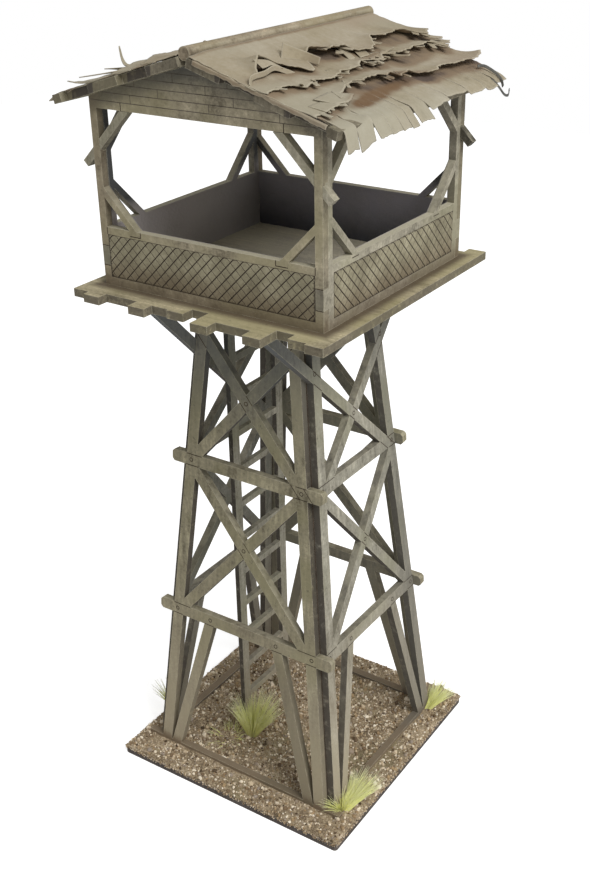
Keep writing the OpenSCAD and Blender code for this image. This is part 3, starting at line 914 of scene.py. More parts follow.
# %% Scatter the grains
grit, grit_shader, place = new_finish("grain_paint", 0.9, 0.15)
stone = (place.value("tone") * 0.85 + place.noise(2500, 2) * 0.15).ramp(
    (0.06, (0.075, 0.054, 0.036)), (0.20, (0.26, 0.180, 0.106)), (0.34, (0.44, 0.315, 0.175)),
    (0.46, (0.35, 0.295, 0.245)), (0.60, (0.64, 0.505, 0.325)), (0.74, (0.74, 0.635, 0.49)),
    (0.86, (0.95, 0.840, 0.650)), (0.98, (1.0, 0.95, 0.84)),
)
feed(grit_shader, Base_Color=stone, Normal=relief(place, place.noise(3000, 2), 0.0001))


def add_grains(name, rng, corners, brightest):
    """One piece of grains from their corners, each with one random tone."""
    count = len(corners)
    faces = (hull_faces(ICO) + len(ICO) * np.arange(count)[:, None, None]).reshape(-1, 3)
    tones = np.repeat(rng.uniform(0, brightest, count), len(ICO))
    add_piece(name, turned(corners.reshape(-1, 3), BASE_TURN), faces, grit, "gravel", values={"tone": tones})


for name, count, size, seed in (("fine_grains", 9000, 0.36, 11), ("coarse_grains", 2600, 0.58, 12)):
    rng = np.random.default_rng(seed)
    x, y = rng.uniform(-BASE_HALF + 0.4, BASE_HALF - 0.4, (2, count))
    radius = size * np.exp(0.35 * rng.normal(size=count)).clip(0.4, 2.4)
    centre = np.stack([x, y, BASE_TOP + ground_height(x, y) + radius * 0.25], -1)
    corners = stones(rng, radius, (0.6, 1.1)) + centre[:, None]
    on_sill = (off_sill(x, y) < SHEET / 2 + radius) & (np.maximum(abs(x), abs(y)) < SILL_END)
    add_grains(name, rng, corners[~on_sill], 1.0)

# %% [markdown]
# Some grains have run over the rim with the glue and cling to the plate's edge.

# %% Grains on the rim
RIM_GRAINS = 2600
rng = np.random.default_rng(14)
run = rng.uniform(-BASE_HALF + 0.3, BASE_HALF - 0.3, RIM_GRAINS)
radius = rng.uniform(0.16, 0.36, RIM_GRAINS)
drop = rng.uniform(0, 1, RIM_GRAINS) ** 2 * 1.2
centre = np.stack([run, np.full(RIM_GRAINS, -BASE_HALF - 0.02), BASE_TOP + 0.25 - drop], -1)
corners = stones(rng, radius) + centre[:, None]
for quarter in range(4):
    corners[quarter::4] = turned(corners[quarter::4], 90 * quarter)
add_grains("rim_grains", rng, corners, 0.8)

# %% [markdown]
# ## Torn roof paper
# Each slope is covered with four rows of painted paper, torn along their lower edges. A place on a slope is given by
# three numbers: how far down from the boards' meeting line, how far along the ridge, and how high above the boards. A
# row is a grid from its upper edge, which lies flat under the next row, to a ragged lower edge that curls up.

# %% Places on a slope
PAPER, RIBBON_ROWS = 0.28, 12
FAR_END, RIGHT_END, LEFT_END = 50.2, -ROOF_END, -48.6


def on_slope(side, down, along, lift):
    """Points of the right (1) or left (-1) slope from distances down, along the ridge and above the boards."""
    up = SHEET + lift
    x = side * (down * math.cos(SLOPE) + up * math.sin(SLOPE))
    z = FLOOR + APEX - down * math.sin(SLOPE) + up * math.cos(SLOPE)
    return np.stack(np.broadcast_arrays(x, along, z), -1)


def read(table, at):
    """Values between the rows of a table of (place, value)."""
    return np.interp(at, *np.transpose(table))


def torn(t, seed):
    """A ragged line: straight pieces between random heights, on nets of about 6, 2 and 0.8 millimetres."""
    rng = np.random.default_rng(seed)
    ragged = np.zeros_like(np.asarray(t, float))
    for cell, height in ((6.1, 1.0), (2.3, 0.7), (0.8, 0.45)):
        knots = np.arange(-80, 81) * cell
        ragged += height * np.interp(t, knots, rng.uniform(-1, 1, len(knots)))
    return ragged


def smooth(t):
    """The smooth step from 0 to 1."""
    t = np.clip(t, 0, 1)
    return t * t * (3 - 2 * t)


def buckle(down, along, seed):
    """Slow waves of the paper's surface, up to about a quarter of a millimetre."""
    along = along + 0 * down
    return 0.16 * lumps(down * 0.7, along, 5.0, seed) + 0.07 * lumps(down, along, 1.7, seed + 1)


print("places on a slope ready")

# %% [markdown]
# A row is torn along its whole lower edge. The eave row is cut into strips that hang over the boards' end.

# %% Rows and hanging strips


def paper_row(side, top, edge, lifts, layer, seed, ends, curl=9.0, jag=0.8, tip=0.0):
    """One row of paper: a grid from its top to a ragged edge, which curls up as a power of the distance to the edge.

    edge and lifts are tables along the ridge: where the lower edge lies and how high it stands. tip is how far the
    far corner is drawn out, and the front end is pressed down on the boards.
    """
    along = np.linspace(*ends, 250)
    share = np.linspace(0, 1, 26)[:, None]
    low = read(edge, along) + jag * torn(along, seed)
    down = top + (low - top) * share
    rise = read(lifts, along) * np.clip(1 - (low - down) / curl, 0, 1) ** 1.7
    end_wear = np.clip(1 - (along - ends[0]) / 6, 0, 1) - np.clip(1 - (ends[1] - along) / 6, 0, 1)
    place = along + 0.5 * torn(down, seed + 1) * end_wear + tip * smooth((along - 38) / 12) * share**2
    pressed = 0.3 + 0.7 * smooth((along - ends[0]) / 9)
    lift = 0.2 + 0.32 * layer * pressed + rise + buckle(down, along, seed + 2) * (0.25 + share) * pressed
    return on_slope(side, down, place, lift)


def hanging_strip(side, ends, length, angle, seed, top=26.0, bend=52.9, twist=0.0):
    """One strip of the eave row: flat to the boards' end, then turning down to an angle within three millimetres."""
    along = np.linspace(*ends, max(6, round((ends[1] - ends[0]) / 0.6)))
    middle = np.mean(ends)
    share = np.linspace(0, 1, 44)[:, None]
    reach = length + 0.35 * torn(along, seed)
    way = share * reach
    theta = -math.radians(angle) * smooth((top + way - bend) / 3.0)
    step = np.diff(way, axis=0, prepend=0)
    down = top + np.cumsum(np.cos(theta) * step, 0)
    lift = 0.05 + 0.15 * smooth((down - 43) / 4) + np.cumsum(np.sin(theta) * step, 0) + buckle(down, along, 70)
    opened = smooth((down - 46) / 8)
    lift = lift + twist * (along - middle) / (ends[1] - ends[0]) * opened**2
    place = middle + (along - middle) * (1 - 0.34 / (ends[1] - ends[0]) * opened)
    return on_slope(side, down, place, lift)


print("rows and strips ready")

# %% [markdown]
# Smaller paper comes as loose strips along a torn edge, and as tongues between two drawn paths.

# %% Loose strips and tongues


def ribbon(side, start, heading, length, width, lift, bends, seed):
    """A loose strip that leaves a spot on the slope and bends as it goes.

    heading is its angle from straight down the slope, and bends a table of its angle to the roof at shares of its
    length.
    """
    share = np.linspace(0, 1, RIBBON_ROWS)[:, None]
    angle = np.radians(read(bends, share))
    run, rise = (np.cumsum(way, 0) * length / RIBBON_ROWS for way in (np.cos(angle), np.sin(angle)))
    across = np.linspace(-0.5, 0.5, 7)[None] * width * (1 - 0.25 * share)
    run = run + 0.3 * torn(across * 3, seed) * share**3
    turn = math.radians(heading)
    down = start[0] + run * math.cos(turn) - across * math.sin(turn)
    along = start[1] + run * math.sin(turn) + across * math.cos(turn)
    return on_slope(side, down, along, lift + rise + 0 * across)


def shreds(side, edge, lifts, layer, count, seed, clear=(60, 60)):
    """Small loose strips along a row's torn edge, at random slants, apart from a stretch that is kept clear."""
    rng = np.random.default_rng(seed)
    along = rng.uniform(-46, 48, count)
    along = along[(along < clear[0]) | (along > clear[1])]
    count = len(along)
    length, width = rng.uniform(2.5, 7.5, count), rng.uniform(0.7, 3.0, count)
    down = read(edge, along) - length * rng.uniform(0.25, 0.7, count)
    lift = 0.35 + 0.32 * layer + 0.6 * read(lifts, along).clip(0) * rng.uniform(0.4, 1.2, count)
    heading, angle = rng.uniform(-70, 35, count), rng.uniform(-4, 34, count)
    return [
        ribbon(side, (d, a), h, n, w, up, ((0, 2), (1, g)), seed + i)
        for i, (d, a, h, n, w, up, g) in enumerate(zip(down, along, heading, length, width, lift, angle))
    ]


def spline(knots, count):
    """A smooth path through knots: cubic pieces whose slope at a knot is half the chord between its neighbours."""
    p = np.asarray(knots, float)
    p = np.concatenate([[2 * p[0] - p[1]], p, [2 * p[-1] - p[-2]]])
    t = np.linspace(0, len(knots) - 1, count).clip(0, len(knots) - 1 - 1e-6)
    i = t.astype(int)
    f = (t - i)[:, None]
    a, b, c, d = p[i], p[i + 1], p[i + 2], p[i + 3]
    return b + 0.5 * f * (c - a + f * (2 * a - 5 * b + 4 * c - d + f * (3 * (b - c) + d - a)))


def flap(side, back, edge, belly=0.2, jag=0.25, count=24):
    """A tongue of paper between two paths of (down, along, lift): straight across, swelling a little midway."""
    root, rim = spline(back, count), spline(edge, count)
    share = np.linspace(0, 1, 9)[:, None]
    down, along, lift = (root[:, i] + (rim[:, i] - root[:, i]) * share for i in range(3))
    down = down + jag * torn(rim[:, 1] * 2, 300 + round(10 * abs(rim[0, 1]))) * share**3
    return on_slope(side, down, along, lift + belly * 4 * share * (1 - share))


print(f"slope {math.degrees(SLOPE):.2f} degrees")

# %% [markdown]
# The right slope is the one the picture shows, so its rows are tables read from it: where each torn edge runs and how
# far it stands up. The left slope's rows follow the same habit with fewer points.

# %% Tables of the torn edges
RIDGE_EDGE = (
    (-50, 21.5), (-45, 21.5), (-42.5, 20.5), (-40, 18.0), (-38, 17.2), (-35, 18.6), (-32.8, 20.4), (-29.5, 21.8),
    (-28, 22.2), (-25, 24.8), (-22.5, 26.5), (-20.5, 25), (-18, 21), (-14, 17.5), (-10, 18.5), (-5, 20.8), (-2, 21.4),
    (1, 20.6), (4, 20.2), (8, 23.5), (12, 24.5), (17, 24), (20, 20.5), (21.5, 18.4), (28, 20.2), (35, 19.8), (41, 19),
    (42.5, 23), (45.5, 26), (48, 24.5), (51, 23),
)
RIDGE_LIFT = (
    (-50, -0.9), (-45, -0.9), (-43, 0.4), (-41, 2.4), (-38, 4.0), (-35, 3.4), (-32.8, 2.4), (-30, 1.8), (-26, 1.4),
    (-22, 0.6), (-16, 0.6), (-13, 2.8), (-5, 3.6), (2, 3.0), (6, 1.4), (18, 1.6), (21.5, 2.4), (42, 2.4), (50, 2.0),
)
MIDDLE_EDGE = (
    (-52, 29), (-50, 30.6), (-46, 30.5), (-42, 30.2), (-38, 31), (-35, 33), (-33, 32.5), (-29, 31), (-24, 31.6),
    (-20, 32), (-13, 31), (-8, 31.4), (-4, 30.8), (-1, 30), (2, 31.5), (8, 31.8), (11, 29.5), (14.7, 30.4),
    (18.5, 31.4), (24, 31), (30, 30.6), (36, 30.4), (40, 30), (44, 33), (47, 33.6), (50, 31.5),
)
MIDDLE_LIFT = ((-50, 0.5), (-40, 0.9), (-30, 1.3), (-10, 1.5), (2, 2.2), (14, 2.2), (24, 2.0), (46, 2.2), (50, 1.6))
LOWER_EDGE = (
    (-52, 45), (-50, 45.8), (-44, 46), (-40, 45), (-36, 44.5), (-34, 42.5), (-30, 40.5), (-27, 39.5), (-24, 38.4),
    (-21, 37.6), (-17, 37.4), (-13.4, 39), (-10.5, 38), (-7, 38.4), (-3, 40), (1, 39.6), (2, 42.2), (6, 40.6),
    (10, 40.2), (11.5, 43.4), (15.9, 45.2), (18, 44.9), (24, 44.3), (32, 44.5), (38, 45.2), (42, 46), (46, 45.4),
    (50, 44), (52, 43),
)
LOWER_LIFT = (
    (-50, 0.4), (-40, 0.8), (-30, 1.2), (-24, 1.8), (-10, 1.8), (2, 2.2), (8, 2.2), (11, 1.8), (16, 2.2), (42, 2.4),
    (50, 3.2),
)
LEFT_RIDGE = ((-50, 17), (-30, 20), (-10, 17.5), (8, 22), (26, 18), (50, 20))
LEFT_MIDDLE = ((-50, 30), (-34, 28), (-12, 31), (10, 28.5), (30, 31), (50, 29))
LEFT_LOWER = ((-50, 47.5), (-45, 46), (-40, 42), (-28, 40), (-6, 43.5), (18, 39), (36, 43), (50, 41))
LEFT_LOW_LIFT = ((-50, 2.6), (-43, 1.0), (-30, 0.6), (0, 0.8), (20, 1.4), (50, 1.4))
LEFT_LIFT = ((-50, 0.3), (-45, 0.5), (-38, 1.7), (-20, 1.4), (0, 0.6), (18, 1.5), (38, 0.8), (50, 1.4))
ROWS = (
    ("right_ridge_row", 1, 1.6, RIDGE_EDGE, RIDGE_LIFT, 3, 101, "right_paper_ridge"),
    ("right_middle_row", 1, 10.0, MIDDLE_EDGE, MIDDLE_LIFT, 2, 111, "right_paper_middle"),
    ("right_lower_row", 1, 20.0, LOWER_EDGE, LOWER_LIFT, 1, 121, None),
    ("left_ridge_row", -1, 1.6, LEFT_RIDGE, LEFT_LIFT, 3, 131, "left_paper_ridge"),
    ("left_middle_row", -1, 10.0, LEFT_MIDDLE, LEFT_LIFT, 2, 141, "left_paper_middle"),
    ("left_lower_row", -1, 20.0, LEFT_LOWER, LEFT_LOW_LIFT, 1, 151, None),
)
CLEAR = {"right_ridge_row": (-50, -13), "right_lower_row": (12, 60)}
RIGHT_STRIPS = (
    (-47.2, -41.4, 34.2, 62, 0.8), (-40.4, -33.8, 34.4, 58, 2.2), (-33.2, -26.5, 33.4, 38, 0.4),
    (-26.5, -21, 33.8, 38, 0.2), (-21, -16.2, 34.2, 36, 0.3), (-15.8, -12, 34.4, 36, 0.2),
    (-11.4, -2.8, 34.0, 32, -0.3), (-2.8, 9, 31.2, 16, 0.3), (9, 22, 29.6, 12, -0.3), (22.2, 33, 31.2, 18, 0.3),
    (33, 41.5, 32.0, 20, -0.3), (41.5, 49.6, 30.6, 20, -0.3),
)
LEFT_STRIPS = (
    (-48, -36, 32, 22, 0.4), (-36, -24, 31.4, 14, -0.4), (-24, -15, 31.6, 30, 0.2), (-15, -2, 31.2, 12, 0.3),
    (-2, 9, 31.4, 34, -0.3), (9, 22, 31.2, 14, 0.4), (22, 31, 31.8, 40, 0.2), (31, 50, 31.4, 16, -0.4),
)
# Most blots are stains; the long thin one just below the ridge is a painted shadow line under the pole.
STAINS_AND_POLE_SHADOW = (
    (41.0, 2.6, 1.6, 3.2, 1.1), (42.5, -10, 3.5, 10, 0.75), (43.5, 12, 3, 8, 0.5), (18.8, -4, 3.2, 6.5, 0.5),
    (26, -38, 3.5, 9, 0.3), (24, 33, 3, 11, 0.45), (35, 24, 3, 13, 0.5), (2.4, 0, 1.3, 60, 0.7),
    (23, -15, 4, 6, 0.3), (29, 5, 2.6, 8, 0.5),
)
RUST = ((46.2, -25, 2.6, 6.5, 1.2), (44.6, -16, 2.8, 7, 1.2), (43.0, -6, 2.4, 7, 0.9), (42.4, 4, 2.4, 6, 0.6))
print(len(ROWS), "rows,", len(RIGHT_STRIPS) + len(LEFT_STRIPS), "eave strips")

# %% [markdown]
# The paper's paint is buff, drifting from grey-green to pink. Rust-brown wash has run into the hollows below the torn
# edges, and painted shade lies there too, under the lifted edges: their strength is worked out for every point from a
# list of soft blots and the edge above, and handed to the shader.

# %% Wash and rust


def blots(down, along, spots):
    """A sum of soft blots: each has a centre down and along the slope, a height, a width and a strength."""
    wash = np.zeros(len(down))
    for centre, middle, tall, wide, strength in spots:
        wash += strength * np.exp(-(((down - centre) / tall) ** 2) - ((along - middle) / wide) ** 2)
    return wash


def wash_shade_and_rust(points, side, above):
    """Brown wash and rust at points in millimetres: blots, and painted shade below the torn edge of the row above.

    The painted shade is stronger where that edge stands higher, and falls off as a bell curve of the distance below
    it.
    """
    down = abs(points[:, 0]) / math.cos(SLOPE) - SHEET * math.tan(SLOPE)
    along = points[:, 1] * side
    wash = blots(down, along, STAINS_AND_POLE_SHADOW)
    if above:
        edge, lift = (read(table, points[:, 1]) for table in above)
        # Painted shade below the torn edge of the row above.
        wash += np.clip(0.44 + 0.16 * lift, 0, 1.1) * np.exp(-(((down - edge) / 3.6) ** 2))
    return np.clip(wash, 0, 1.2), np.clip(blots(down, along, RUST), 0, 1)


print("wash and rust ready")

# %% [markdown]
# The wash and painted shade go on twice: brown where they are thin, and a nearly black painted shadow where they
# are strongest. Rust comes next, then a warm tint near the ridge, and torn edges show pale.

# %% Paper finish
paper, paper_shader, place = new_finish("paper_paint", 0.88, 0.2)
wash, rust = place.value("wash"), place.value("rust")
drift = place.noise(45, 3)
fine = place.noise(700, 3, 0.65)
brush = place.stretch(0.12, 1, 0.12).noise(320, 3, 0.6)
buff = (drift * 0.6 + fine * 0.25 + brush * 0.15).ramp(
    (0.36, (0.270, 0.232, 0.160)), (0.46, (0.372, 0.322, 0.226)), (0.55, (0.418, 0.370, 0.278)),
    (0.66, (0.50, 0.455, 0.355)),
)
pink = place.stretch(1, 0.5, 1).noise(28, 2).rise(0.48, 0.64) * 0.65
buff = pink.blend(buff, (0.385, 0.312, 0.236))
grey = place.stretch(1, 0.6, 1).noise(22, 2).rise(0.52, 0.68) * 0.6
buff = grey.blend(buff, (0.395, 0.375, 0.290))
streaks = place.stretch(0.4, 1, 0.4).noise(190, 4, 0.65)
wash_and_shade = wash * (0.35 + 1.3 * streaks)
buff = wash_and_shade.rise(0.08, 0.60).blend(buff, (0.235, 0.172, 0.115))
# Nearly black painted shadow where wash and painted shade are strongest.
buff = wash_and_shade.rise(0.62, 1.15).blend(buff, (0.085, 0.062, 0.055))
buff = (rust * (0.45 + 1.1 * streaks)).rise(0.05, 1.0).blend(buff, (0.155, 0.090, 0.046))
warm = place.axes()[2].rise((FLOOR + 60) * MM, (FLOOR + 70) * MM) * 0.26
buff = warm.blend(buff, (0.30, 0.235, 0.145))
buff = (edge_wear(place, 0.0006) * 0.35).blend(buff, (0.56, 0.51, 0.40))
feed(paper_shader, Base_Color=buff, Normal=relief(place, place.noise(420, 4) + fine * 0.5 + brush * 0.2, 0.0002))
print("paper finish ready")

# %% [markdown]
# Rows are laid from the ridge down, so that each knows the torn edge that shades it. The strips of an eave share a
# lining that closes the gaps between them.

# %% Lay the paper


def add_paper(name, side, sheets, above=None, even_shade=0.0):
    """Paper sheets as one piece, with wash, painted shade and rust as point values, and any even painted shade added.
    """
    points, faces = joined([thick_sheet(sheet, PAPER) for sheet in sheets])
    wash, rust = wash_shade_and_rust(points, side, above)
    return add_piece(name, points, faces, paper, "roof_paper", True, {"wash": wash + even_shade, "rust": rust})


SHREDS = 24
above = None
for name, side, top, edge, lifts, layer, seed, node in ROWS:
    clear = CLEAR.get(name, (-50, -20) if side < 0 else (60, 60))
    ends, tip = ((RIGHT_END, FAR_END), 2.2) if side > 0 else ((LEFT_END, FAR_END), 0.8)
    sheets = [paper_row(side, top, edge, lifts, layer, seed, ends, tip=tip)]
    sheets += shreds(side, edge, lifts, layer, SHREDS, seed + 5, clear)
    piece = add_paper(name, side, sheets, above if layer < 3 else None)
    above = edge, lifts
    if node:
        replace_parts(piece, node)
LINING_EDGE, LINING_LIFT = ((-50, 49.5), (51, 49.5)), ((-50, -0.7), (51, -0.7))
for name, side, table, edge, lifts, node in (
    ("right_eave_strips", 1, RIGHT_STRIPS, LOWER_EDGE, LOWER_LIFT, "right_paper_eave"),
    ("left_eave_strips", -1, LEFT_STRIPS, LEFT_LOWER, LEFT_LIFT, "left_paper_eave"),
):
    sheets = [hanging_strip(side, (a, b), n, g, 160 + i, twist=t) for i, (a, b, n, g, t) in enumerate(table)]
    sheets.append(paper_row(side, 26.0, LINING_EDGE, LINING_LIFT, 0, 68, (-47.4, 49.8), 5.0, 0.3))
    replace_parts(add_paper(name, side, sheets, (edge, lifts)), node)

# %% [markdown]
# Some paper has come loose: tongues that lie over the rows or stand on edge below the ridge, the lip of a pocket at
# the front, and curls at the left gable. Along the right slope's front the paper is folded down over the boards' ends.

# %% Loose scraps


def scrap(side, knots, width, count=26, taper=1.0):
    """A strip along a path of (down, along, lift, slant): slant is the angle of its cross-section to the roof."""
    path = spline(knots, count)
    across = np.linspace(-0.5, 0.5, 7)[None] * width * np.linspace(1, taper, count)[:, None]
    slant = np.radians(path[:, 3:4])
    heading = np.gradient(path[:, :2], axis=0)
    heading /= np.maximum(np.linalg.norm(heading, axis=1, keepdims=True), 1e-6)
    flat = across * np.cos(slant)
    down = path[:, 0:1] - flat * heading[:, 1:2]
    along = path[:, 1:2] + flat * heading[:, 0:1]
    return on_slope(side, down, along, path[:, 2:3] + across * np.sin(slant))


def front_fold(side, ends, hang, seed):
    """Paper turned down over the boards' front ends: round the corner, then straight down to a ragged edge."""
    down = np.linspace(*ends, 120)[None]
    low = hang + 0.35 * torn(down, seed)
    share = np.linspace(0, 1, 6)[:, None]
    fall = np.concatenate([0 * low + 0.12, 0.08 - low * share])
    along = np.concatenate([[[0.4]], 0 * share - 0.16]) - ROOF_END
    return on_slope(side, down, along, fall)


RIGHT_FLAPS = (
    (((16.9, -40.4, 4.2), (18.4, -35.4, 3.8), (20.2, -32.6, 2.8)),
     ((20.6, -40.2, 3.0), (20.4, -35.6, 3.2), (21.8, -31.8, 2.2))),
    (((15.2, -23.2, 1.3), (18.9, -18.6, 1.4), (24.0, -15.8, 1.5)),
     ((11.9, -18.7, 4.1), (17.6, -17.0, 3.9), (23.6, -15.2, 3.6))),
    (((18.5, 2.0, 2.2), (18.8, 4.5, 2.2)), ((25.6, -1.3, 1.5), (25.9, 1.9, 1.6))),
    (((20.0, 8.5, 1.6), (20.5, 13.0, 1.6)), ((26.0, 4.4, 1.5), (26.3, 9.7, 1.6))),
    (((25.5, 10.2, 1.8), (26.0, 14.5, 1.8)), ((30.7, 9.7, 1.6), (30.9, 14.7, 1.7))),
    (((28.5, 1.0, 1.4), (28.8, 6.0, 1.6)), ((32.2, 2.2, 1.7), (32.4, 8.4, 1.8))),
    (((28.9, -0.4, 1.6), (28.5, 9.6, 2.6), (27.7, 20.8, 3.1)),
     ((29.6, -0.2, 1.6), (29.3, 9.8, 2.4), (28.1, 20.9, 3.0))),
    (((38.6, -40.2, 1.2), (37.6, -31.5, 1.2)), ((44.2, -36.9, 1.5), (45.6, -32.2, 2.1), (43.4, -26.4, 2.2))),
    (((40.4, -45.0, 0.7), (40.0, -39.0, 0.8)), ((45.8, -44.6, 1.4), (45.2, -36.4, 1.7))),
    (((36.0, -24.5, 1.0), (34.5, -15.0, 1.0)), ((39.0, -23.0, 1.5), (37.6, -18.6, 2.1), (39.4, -14.0, 1.6))),
    (((28.5, -12.5, 1.3), (27.5, -5.0, 1.3)), ((32.3, -12.0, 1.6), (30.2, -7.6, 2.2), (31.8, -3.8, 1.7))),
)
LEFT_CURL = (
    (25.5, -40, 0.4, 0), (27.8, -40, 1.9, 5), (29.5, -39.8, 2.7, 5), (30.5, -39.4, 4.7, 5), (31.0, -38.6, 8.2, 5),
)
LEFT_FLAPS = (
    (((24, -40, 0.6), (30, -40, 0.6)), ((29, -46, 1.2), (36, -47.5, 1.9), (42, -48.0, 2.6))),
    (((30, -34, 0.8), (34, -34, 0.8)), ((33, -39, 2.2), (38.5, -40, 3.2))),
)
POCKET_LIP = (
    (23.6, -49.0, 0.5, 40), (22.0, -46.8, 1.9, 65), (22.2, -41.2, 2.4, 72), (21.2, -35.2, 2.6, 70),
    (22.4, -31, 1.5, 55), (24, -28, 0.7, 30),
)
right_loose = [flap(1, back, edge, 0.05) for back, edge in RIGHT_FLAPS] + [scrap(1, POCKET_LIP, 1.5, 40)]
left_loose = [scrap(-1, LEFT_CURL, 2.0, taper=0.2)] + [flap(-1, back, edge) for back, edge in LEFT_FLAPS]
add_paper("right_flaps", 1, right_loose)
# The fold faces the front and takes an even painted shade.
add_paper("front_fold", 1, [front_fold(1, (3.5, 50.0), 1.1, 181)], even_shade=0.42)
add_paper("left_scraps", -1, left_loose)

# %% [markdown]
# At the far eave two thin ends are dark and twisted into hooks.

# %% Dark hooks
FAR_HOOKS = (
    (0.9, ((47.9, 42.7, 1.4, 60), (49.4, 45.1, 1.6, 60), (53.9, 44.7, 1.1, 70), (56.4, 44.3, 0.1, 75),
           (58.5, 42.5, -1.1, 80))),
    (0.8, ((54.4, 40.9, -0.1, 60), (57.1, 41.2, -1.1, 70), (59.9, 41.9, -3.1, 75), (60.5, 43.8, -3.6, 80),
           (60.1, 45.2, -3.1, 80), (59.7, 45.3, -2.1, 85))),
)
hook = streaky_finish("dark_hook_paper", 300, (0.35, (0.065, 0.066, 0.062)), (0.65, (0.19, 0.185, 0.165)), 0.8, 0.25)
points, faces = joined([thick_sheet(scrap(1, knots, width), PAPER) for width, knots in FAR_HOOKS])
add_piece("far_hooks", points, faces, hook, "roof_paper", True)

# %% [markdown]
# ## Fibre tufts
# The maker of such a model glues tufts of stiff nylon fibre to the base. A tuft is up to a few hundred tapering hairs
# that leave one small spot at random slants and bend outwards. Each hair is a three-sided tube, and all hairs of a
# tuft are worked out together.

# %% Hairs
HAIR_RINGS, HAIR_R = 6, 0.15


def hairs(root, count, length, slant, lean, seed, spot):
    """Tapering hairs: each starts in a round spot, slants away from it and bends over as the square of its length."""
    rng = np.random.default_rng(seed)
    turn = rng.uniform(0, 2 * np.pi, count)
    start_r = spot * np.sqrt(rng.uniform(0, 1, count))
    out = np.stack([np.cos(turn), np.sin(turn), np.zeros(count)], -1)
    foot = np.asarray(root) + out * start_r[:, None]
    tilt = slant * np.sqrt(rng.uniform(0.02, 1, count))
    way = out * np.sin(tilt)[:, None] + np.array([0, 0, 1]) * np.cos(tilt)[:, None] + np.asarray(lean)
    way /= np.linalg.norm(way, axis=1, keepdims=True)
    size = length * rng.uniform(0.6, 1.0, count)
    s = np.linspace(0, 1, HAIR_RINGS)[None, :, None]
    droop = np.array([0, 0, -1]) * 0.18 * np.sin(tilt)[:, None]
    bend = droop + 0.15 * out
    path = foot[:, None] + size[:, None, None] * (way[:, None] * s + bend[:, None] * s * s)
    side = np.cross(way, rng.normal(size=(count, 3)))
    side /= np.linalg.norm(side, axis=1, keepdims=True)
    other = np.cross(way, side)
    angle = np.arange(3) * 2 * np.pi / 3
    ring = side[:, None] * np.cos(angle)[:, None] + other[:, None] * np.sin(angle)[:, None]
    radius = HAIR_R * (1 - 0.8 * np.linspace(0, 1, HAIR_RINGS))
    points = path[:, :, None] + ring[:, None] * radius[:, None, None]
    quad = np.arange(HAIR_RINGS - 1)[:, None] * 3 + np.arange(3)
    after = np.arange(HAIR_RINGS - 1)[:, None] * 3 + (np.arange(3) + 1) % 3
    faces = np.stack([quad, after, after + 3, quad + 3], -1).reshape(-1, 4)
    faces = faces + np.arange(count)[:, None, None] * HAIR_RINGS * 3
    height = np.broadcast_to(np.linspace(0, 1, HAIR_RINGS)[:, None], (count, HAIR_RINGS, 3))
    shade = np.broadcast_to(rng.uniform(0, 1, count)[:, None, None], height.shape)
    return points.reshape(-1, 3), faces.reshape(-1, 4), height.ravel(), shade.ravel()


print("hairs ready")

# %% [markdown]
# A hair is deeper in colour at its root and pale at its tip, and each has its own random shade.

# %% Tufts on the base
fibre, fibre_shader, place = new_finish("fibre_paint", 0.7, 0.2)
straw = place.value("height").ramp(
    (0.0, (0.66, 0.65, 0.22)), (0.35, (0.97, 0.98, 0.34)), (0.75, (0.98, 1.0, 0.46)), (1.0, (1.0, 0.99, 0.68))
)
feed(fibre_shader, Base_Color=(place.value("shade") * 0.45).blend(straw, (0.86, 0.84, 0.50)))

TUFTS = (
    ("middle_tuft", (-9.6, -18.2), 460, 19.0, 0.50, (0.04, 0.20, 0.0), 2.3),
    ("middle_flock", (-17.8, -24.6), 340, 5.0, 1.4, (-0.1, -0.1, -0.60), 6.0),
    ("front_tuft", (43.2, -34.4), 200, 9.5, 0.9, (-0.35, 0.1, 0.0), 1.5),
    ("front_tuft_lobe", (44.2, -33.2), 330, 16.8, 0.42, (0.2, 1.5, -0.15), 2.1),
    ("right_tuft", (42.8, 34.4), 210, 14.0, 0.40, (0.30, 1.0, -0.1), 1.7),
    ("left_tuft", (-49.0, -21.5), 90, 13.0, 0.34, (-0.34, -0.05, 0.0), 0.9),
    ("back_tuft", (-49.0, 37.6), 110, 6.5, 0.6, (0.0, 0.0, 0.0), 1.0),
)
for seed, (name, at, count, length, slant, lean, spot) in enumerate(TUFTS, 31):
    root = (*at, BASE_TOP + float(ground_height(*np.array(at))) - 0.3)
    points, faces, height, shade = hairs(root, count, length, slant, lean, seed, spot)
    add_piece(name, points, faces, fibre, "gravel", True, {"height": height, "shade": shade})

# %% [markdown]
# ## Floor and light
# A white floor and a white world make the plain ground of the picture. The world shows white to the camera but lights
# the model at less than half that level, and one large soft lamp from the upper right does the rest, so the
# right-hand sheets come out brighter than the front ones.

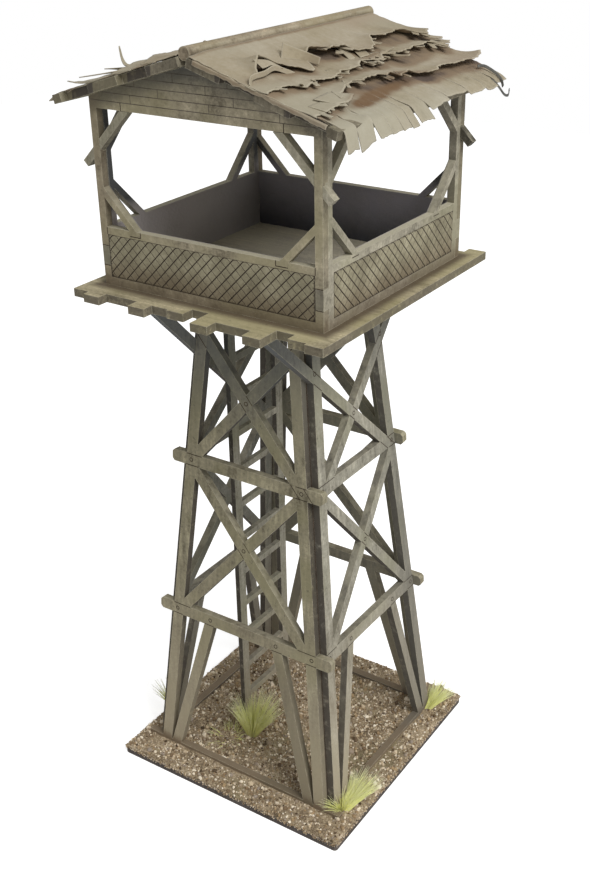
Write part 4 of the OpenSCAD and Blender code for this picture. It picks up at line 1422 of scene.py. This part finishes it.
# %% Floor
floor_mesh = bpy.data.meshes.new("floor")
FLOOR_HALF = 1.1
corners = [(-1, -1), (1, -1), (1, 1), (-1, 1)]
floor_mesh.from_pydata([(FLOOR_HALF * x, FLOOR_HALF * y, 0) for x, y in corners], [], [(0, 1, 2, 3)])
floor = bpy.data.objects.new("floor", floor_mesh)
scene.collection.objects.link(floor)
floor_finish, floor_shader, place = new_finish("floor_white", 1.0, 0.0)
floor_shader.inputs["Base Color"].default_value = (0.93, 0.93, 0.93, 1)
floor_shader.inputs["Emission Strength"].default_value = 0.6
in_view = place.node("ShaderNodeLightPath", out="Is Camera Ray")
feed(floor_shader, Emission_Color=in_view.blend((0, 0, 0), (1, 1, 1)))
floor_mesh.materials.append(floor_finish)

print("floor placed")

# %% [markdown]
# Two backgrounds are mixed by the kind of ray: the white one for what is looked at, the dim one for light.

# %% World
world = bpy.data.worlds.new("studio")
scene.world = world
world.use_nodes = True
sky = Wire(world.node_tree)
WORLD_LIGHT = 0.42
seen = [sky.node("ShaderNodeLightPath", out=f"Is {kind} Ray") for kind in ("Camera", "Glossy", "Transmission")]
white, dim = (
    sky.node("ShaderNodeBackground", None, {"Color": (1, 1, 1, 1), "Strength": level})
    for level in (1.0, WORLD_LIGHT)
)
looked_at = sky.math("MAXIMUM", sky.math("MAXIMUM", seen[0], seen[1]), seen[2])
backdrop = sky.node("ShaderNodeMixShader", None, {0: looked_at, 1: dim, 2: white})
world.node_tree.links.new(backdrop.socket, world.node_tree.nodes["World Output"].inputs["Surface"])


print("world set")

# %% [markdown]
# The lamp is a wide square, so the shadows have soft edges.

# %% Lamp


def soft_lamp(name, at, aim, size, power):
    """A square area lamp at one point, facing another, in metres and watts."""
    lamp = bpy.data.lights.new(name, "AREA")
    lamp.energy = power
    lamp.size = size
    holder = bpy.data.objects.new(name, lamp)
    scene.collection.objects.link(holder)
    back = np.array(at, float) - np.array(aim, float)
    back /= np.linalg.norm(back)
    right = np.cross([0, 0, 1], back)
    right /= np.linalg.norm(right)
    matrix = np.eye(4)
    matrix[:3, :3] = np.column_stack([right, np.cross(back, right), back])
    matrix[:3, 3] = at
    holder.matrix_world = Matrix(matrix.tolist())


soft_lamp("key", (1.5, -0.45, 1.75), (0, 0, 0.15), 1.1, 34)
scene.view_settings.view_transform = "Standard"
print("one lamp placed")
